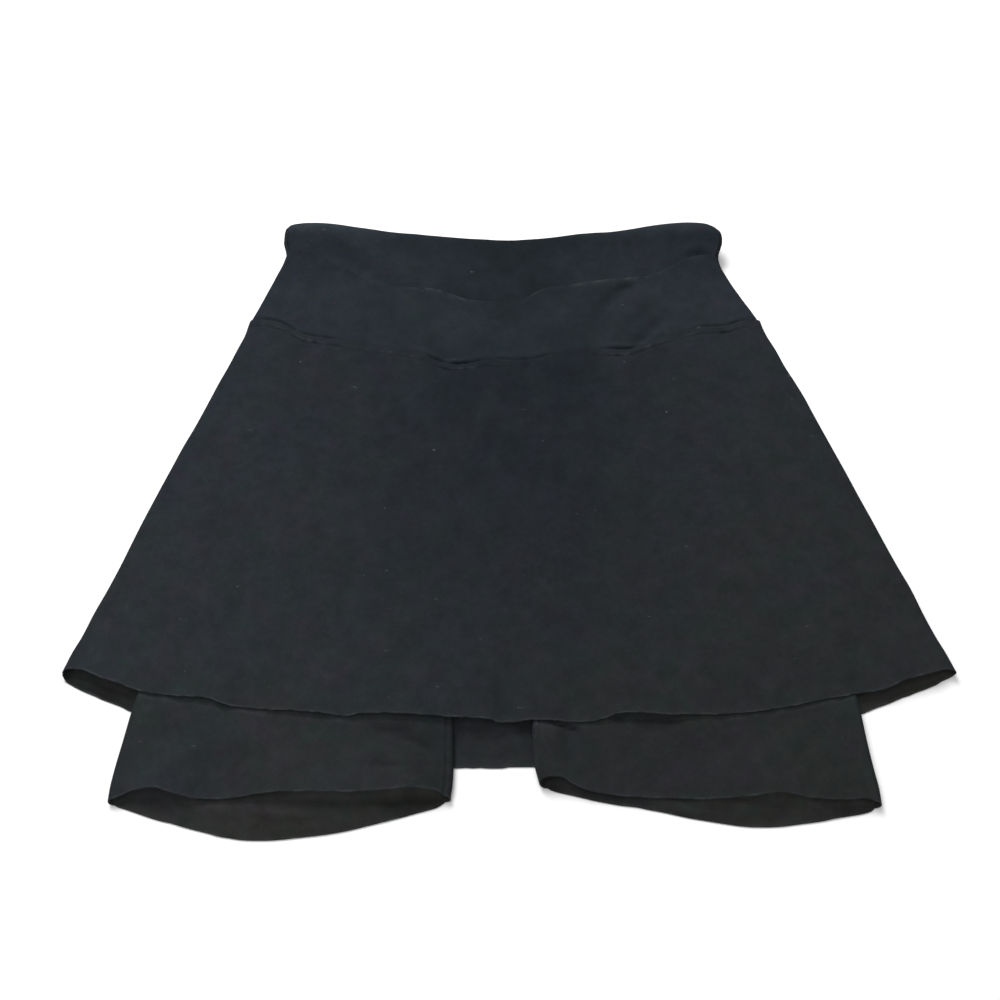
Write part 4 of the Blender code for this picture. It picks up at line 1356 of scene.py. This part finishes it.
class SKORT_OT_stage(bpy.types.Operator):
    """Pale floor, soft studio light and the camera"""

    bl_idname = "skort.stage"
    bl_label = "Stage"

    def execute(self, context):
        scene = context.scene
        scene.view_settings.view_transform = "Standard"
        camera = in_scene("camera", bpy.data.cameras.new("camera"))
        camera.data.lens = LENS
        camera.data.sensor_width = SENSOR
        camera.location = CAMERA_PLACE
        camera.rotation_euler = (CAMERA_TILT, 0, 0)
        scene.camera = camera

        paper = bmesh.new()
        bmesh.ops.create_grid(paper, x_segments=1, y_segments=1, size=FLOOR_SIZE / 2)
        bmesh.ops.translate(paper, verts=paper.verts[:], vec=(0, 0, -FLOOR_DROP))
        floor = in_scene("floor", mesh_of("floor", paper))
        floor.data.materials.append(floor_finish("floor_paper", scene.skort_finish.floor_colour))

        world = bpy.data.worlds.new("studio")
        world.use_nodes = True
        backdrop = world.node_tree.nodes["Background"]
        backdrop.inputs["Color"].default_value = (1.0, 1.0, 1.0, 1.0)
        backdrop.inputs["Strength"].default_value = ROOM_LIGHT
        scene.world = world
        for name, place, size, power in LAMPS:
            lamp = in_scene(name, bpy.data.lights.new(name, "AREA"))
            lamp.data.shape = "DISK"
            lamp.data.size = size
            lamp.data.energy = power
            lamp.location = place
            lamp.rotation_euler = (-Vector(place)).to_track_quat("-Z", "Y").to_euler()
        return {"FINISHED"}


class SKORT_OT_waistband(bpy.types.Operator):
    """Front and back of the wide folded waistband"""

    bl_idname = "skort.waistband"
    bl_label = "Waistband"

    def execute(self, context):
        sizes, finish = context.scene.skort_sizes, context.scene.skort_finish
        material = jersey("waistband_jersey", opaque(finish.band_colour), finish, DEEP_BAND)
        columns = fold_columns(np.linspace(-1, 1, BAND_COLUMNS))
        for face, height, flat, area, rests_on in (
            (FRONT, 78, (0.418, 0.114), 0.0275, ["waistband_back_jersey"]),
            (BACK, 82, (0.418, 0.094), 0.0300, ["floor"]),
        ):
            rows = stops(height, MOUTH_STEP, SEAM_STOPS, LIP_STOPS)
            shape = lambda *place, face=face: band_shape(sizes, face, *place)
            piece = make_panel(
                f"waistband_{face}_jersey", face, columns, rows, sizes.band_wall, shape, material)
            lay_on(piece, f"waistband_{face}")
        return {"FINISHED"}


class SKORT_OT_skirt(bpy.types.Operator):
    """Front and back panel of the flared skirt"""

    bl_idname = "skort.skirt"
    bl_label = "Skirt"

    def execute(self, context):
        sizes, finish = context.scene.skort_sizes, context.scene.skort_finish
        material = jersey("skirt_jersey", opaque(finish.skirt_colour), finish)
        for face, step, flat, area, rests_on in (
            (FRONT, STEP, (0.646, 0.345), 0.164, ["shorts_right_front_jersey", "shorts_left_front_jersey"]),
            (BACK, HIDDEN_STEP, (0.646, 0.395), 0.187, ["floor"]),
        ):
            columns = fold_columns(np.linspace(-1, 1, round(SKIRT_WIDTH / step) + 1))
            rows = stops(SKIRT_LENGTH, step, LIP_STOPS, SEAM_STOPS)
            shape = lambda *place, face=face: skirt_shape(sizes, face, *place)
            piece = make_panel(f"skirt_{face}_jersey", face, columns, rows, sizes.cloth, shape, material)
            lay_on(piece, f"skirt_{face}")
        return {"FINISHED"}


class SKORT_OT_shorts(bpy.types.Operator):
    """The four panels of the shorts"""

    bl_idname = "skort.shorts"
    bl_label = "Shorts"

    def execute(self, context):
        sizes, finish = context.scene.skort_sizes, context.scene.skort_finish
        material = jersey("shorts_jersey", opaque(finish.shorts_colour), finish)
        columns = fold_columns(stops(LEG_WIDTH, STEP, INSEAM_STOPS, SIDE_STOPS))
        mouth = stops(LEG_LENGTH, MOUTH_STEP, LIP_STOPS, (0.0,))
        thigh = 1 + np.linspace(0, 1, THIGH_ROWS + 1)[1:]
        hip = CROTCH_ROW + np.linspace(0, 1, HIP_ROWS + 1)[1:]
        rows = np.concatenate([mouth, thigh, hip])
        for side, leg in LEGS.items():
            for face in (FRONT, BACK):
                shape = lambda *place, leg=leg, face=face: shorts_shape(sizes, leg, face, *place)
                name = f"shorts_{side}_{face}"
                piece = make_panel(
                    f"{name}_jersey", face, columns, rows, sizes.cloth, shape, material,
                    mirrored=leg["sign"] < 0)
                lay_on(piece, name)
        return {"FINISHED"}


class SKORT_OT_stitching(bpy.types.Operator):
    """Topstitches along the waistband seam and the inseams"""

    bl_idname = "skort.stitching"
    bl_label = "Stitching"

    def execute(self, context):
        sizes, finish = context.scene.skort_sizes, context.scene.skort_finish
        material = thread("sewing_thread", opaque(finish.thread_colour))
        x = np.linspace(*TOPSTITCH_ENDS, TOPSTITCH_POINTS) * MM
        line = np.stack([x, seam_y(FRONT, x) - TOPSTITCH_PLACE * MM], axis=1)
        stitch_row("waistband_topstitch", "skirt_front_jersey", line, sizes, material)
        for side, leg in LEGS.items():
            y = np.linspace(leg["stitch_end"], INSEAM_STITCH_TOP_Y, INSEAM_POINTS) * MM
            line = np.stack([inseam_x(leg, y), y], axis=1)
            panel = f"shorts_{side}_front_jersey"
            stitch_row(f"inseam_{side}_stitches", panel, line, sizes, material)
        return {"FINISHED"}


class SKORT_PT_panel(bpy.types.Panel):
    """Sizes, colours and steps of the skort"""

    bl_idname = "SKORT_PT_panel"
    bl_label = "Tennis Skort"
    bl_space_type = "VIEW_3D"
    bl_region_type = "UI"
    bl_category = "Skort"

    def draw(self, context):
        for group in (context.scene.skort_sizes, context.scene.skort_finish):
            box = self.layout.box()
            for name in group.__annotations__:
                box.prop(group, name)
        for operator in STEPS:
            self.layout.operator(operator.bl_idname)


STEPS = (SKORT_OT_stage, SKORT_OT_waistband, SKORT_OT_skirt, SKORT_OT_shorts, SKORT_OT_stitching)
CLASSES = (SkortSizes, SkortFinish, *STEPS, SKORT_PT_panel)


def register():
    for cls in CLASSES:
        bpy.utils.register_class(cls)
    bpy.types.Scene.skort_sizes = bpy.props.PointerProperty(type=SkortSizes)
    bpy.types.Scene.skort_finish = bpy.props.PointerProperty(type=SkortFinish)


def unregister():
    del bpy.types.Scene.skort_finish
    del bpy.types.Scene.skort_sizes
    for cls in reversed(CLASSES):
        bpy.utils.unregister_class(cls)


def main():
    register()
    bpy.ops.skort.stage()
    bpy.ops.skort.waistband()
    bpy.ops.skort.skirt()
    bpy.ops.skort.shorts()
    bpy.ops.skort.stitching()


if __name__ == "__main__":
    main()
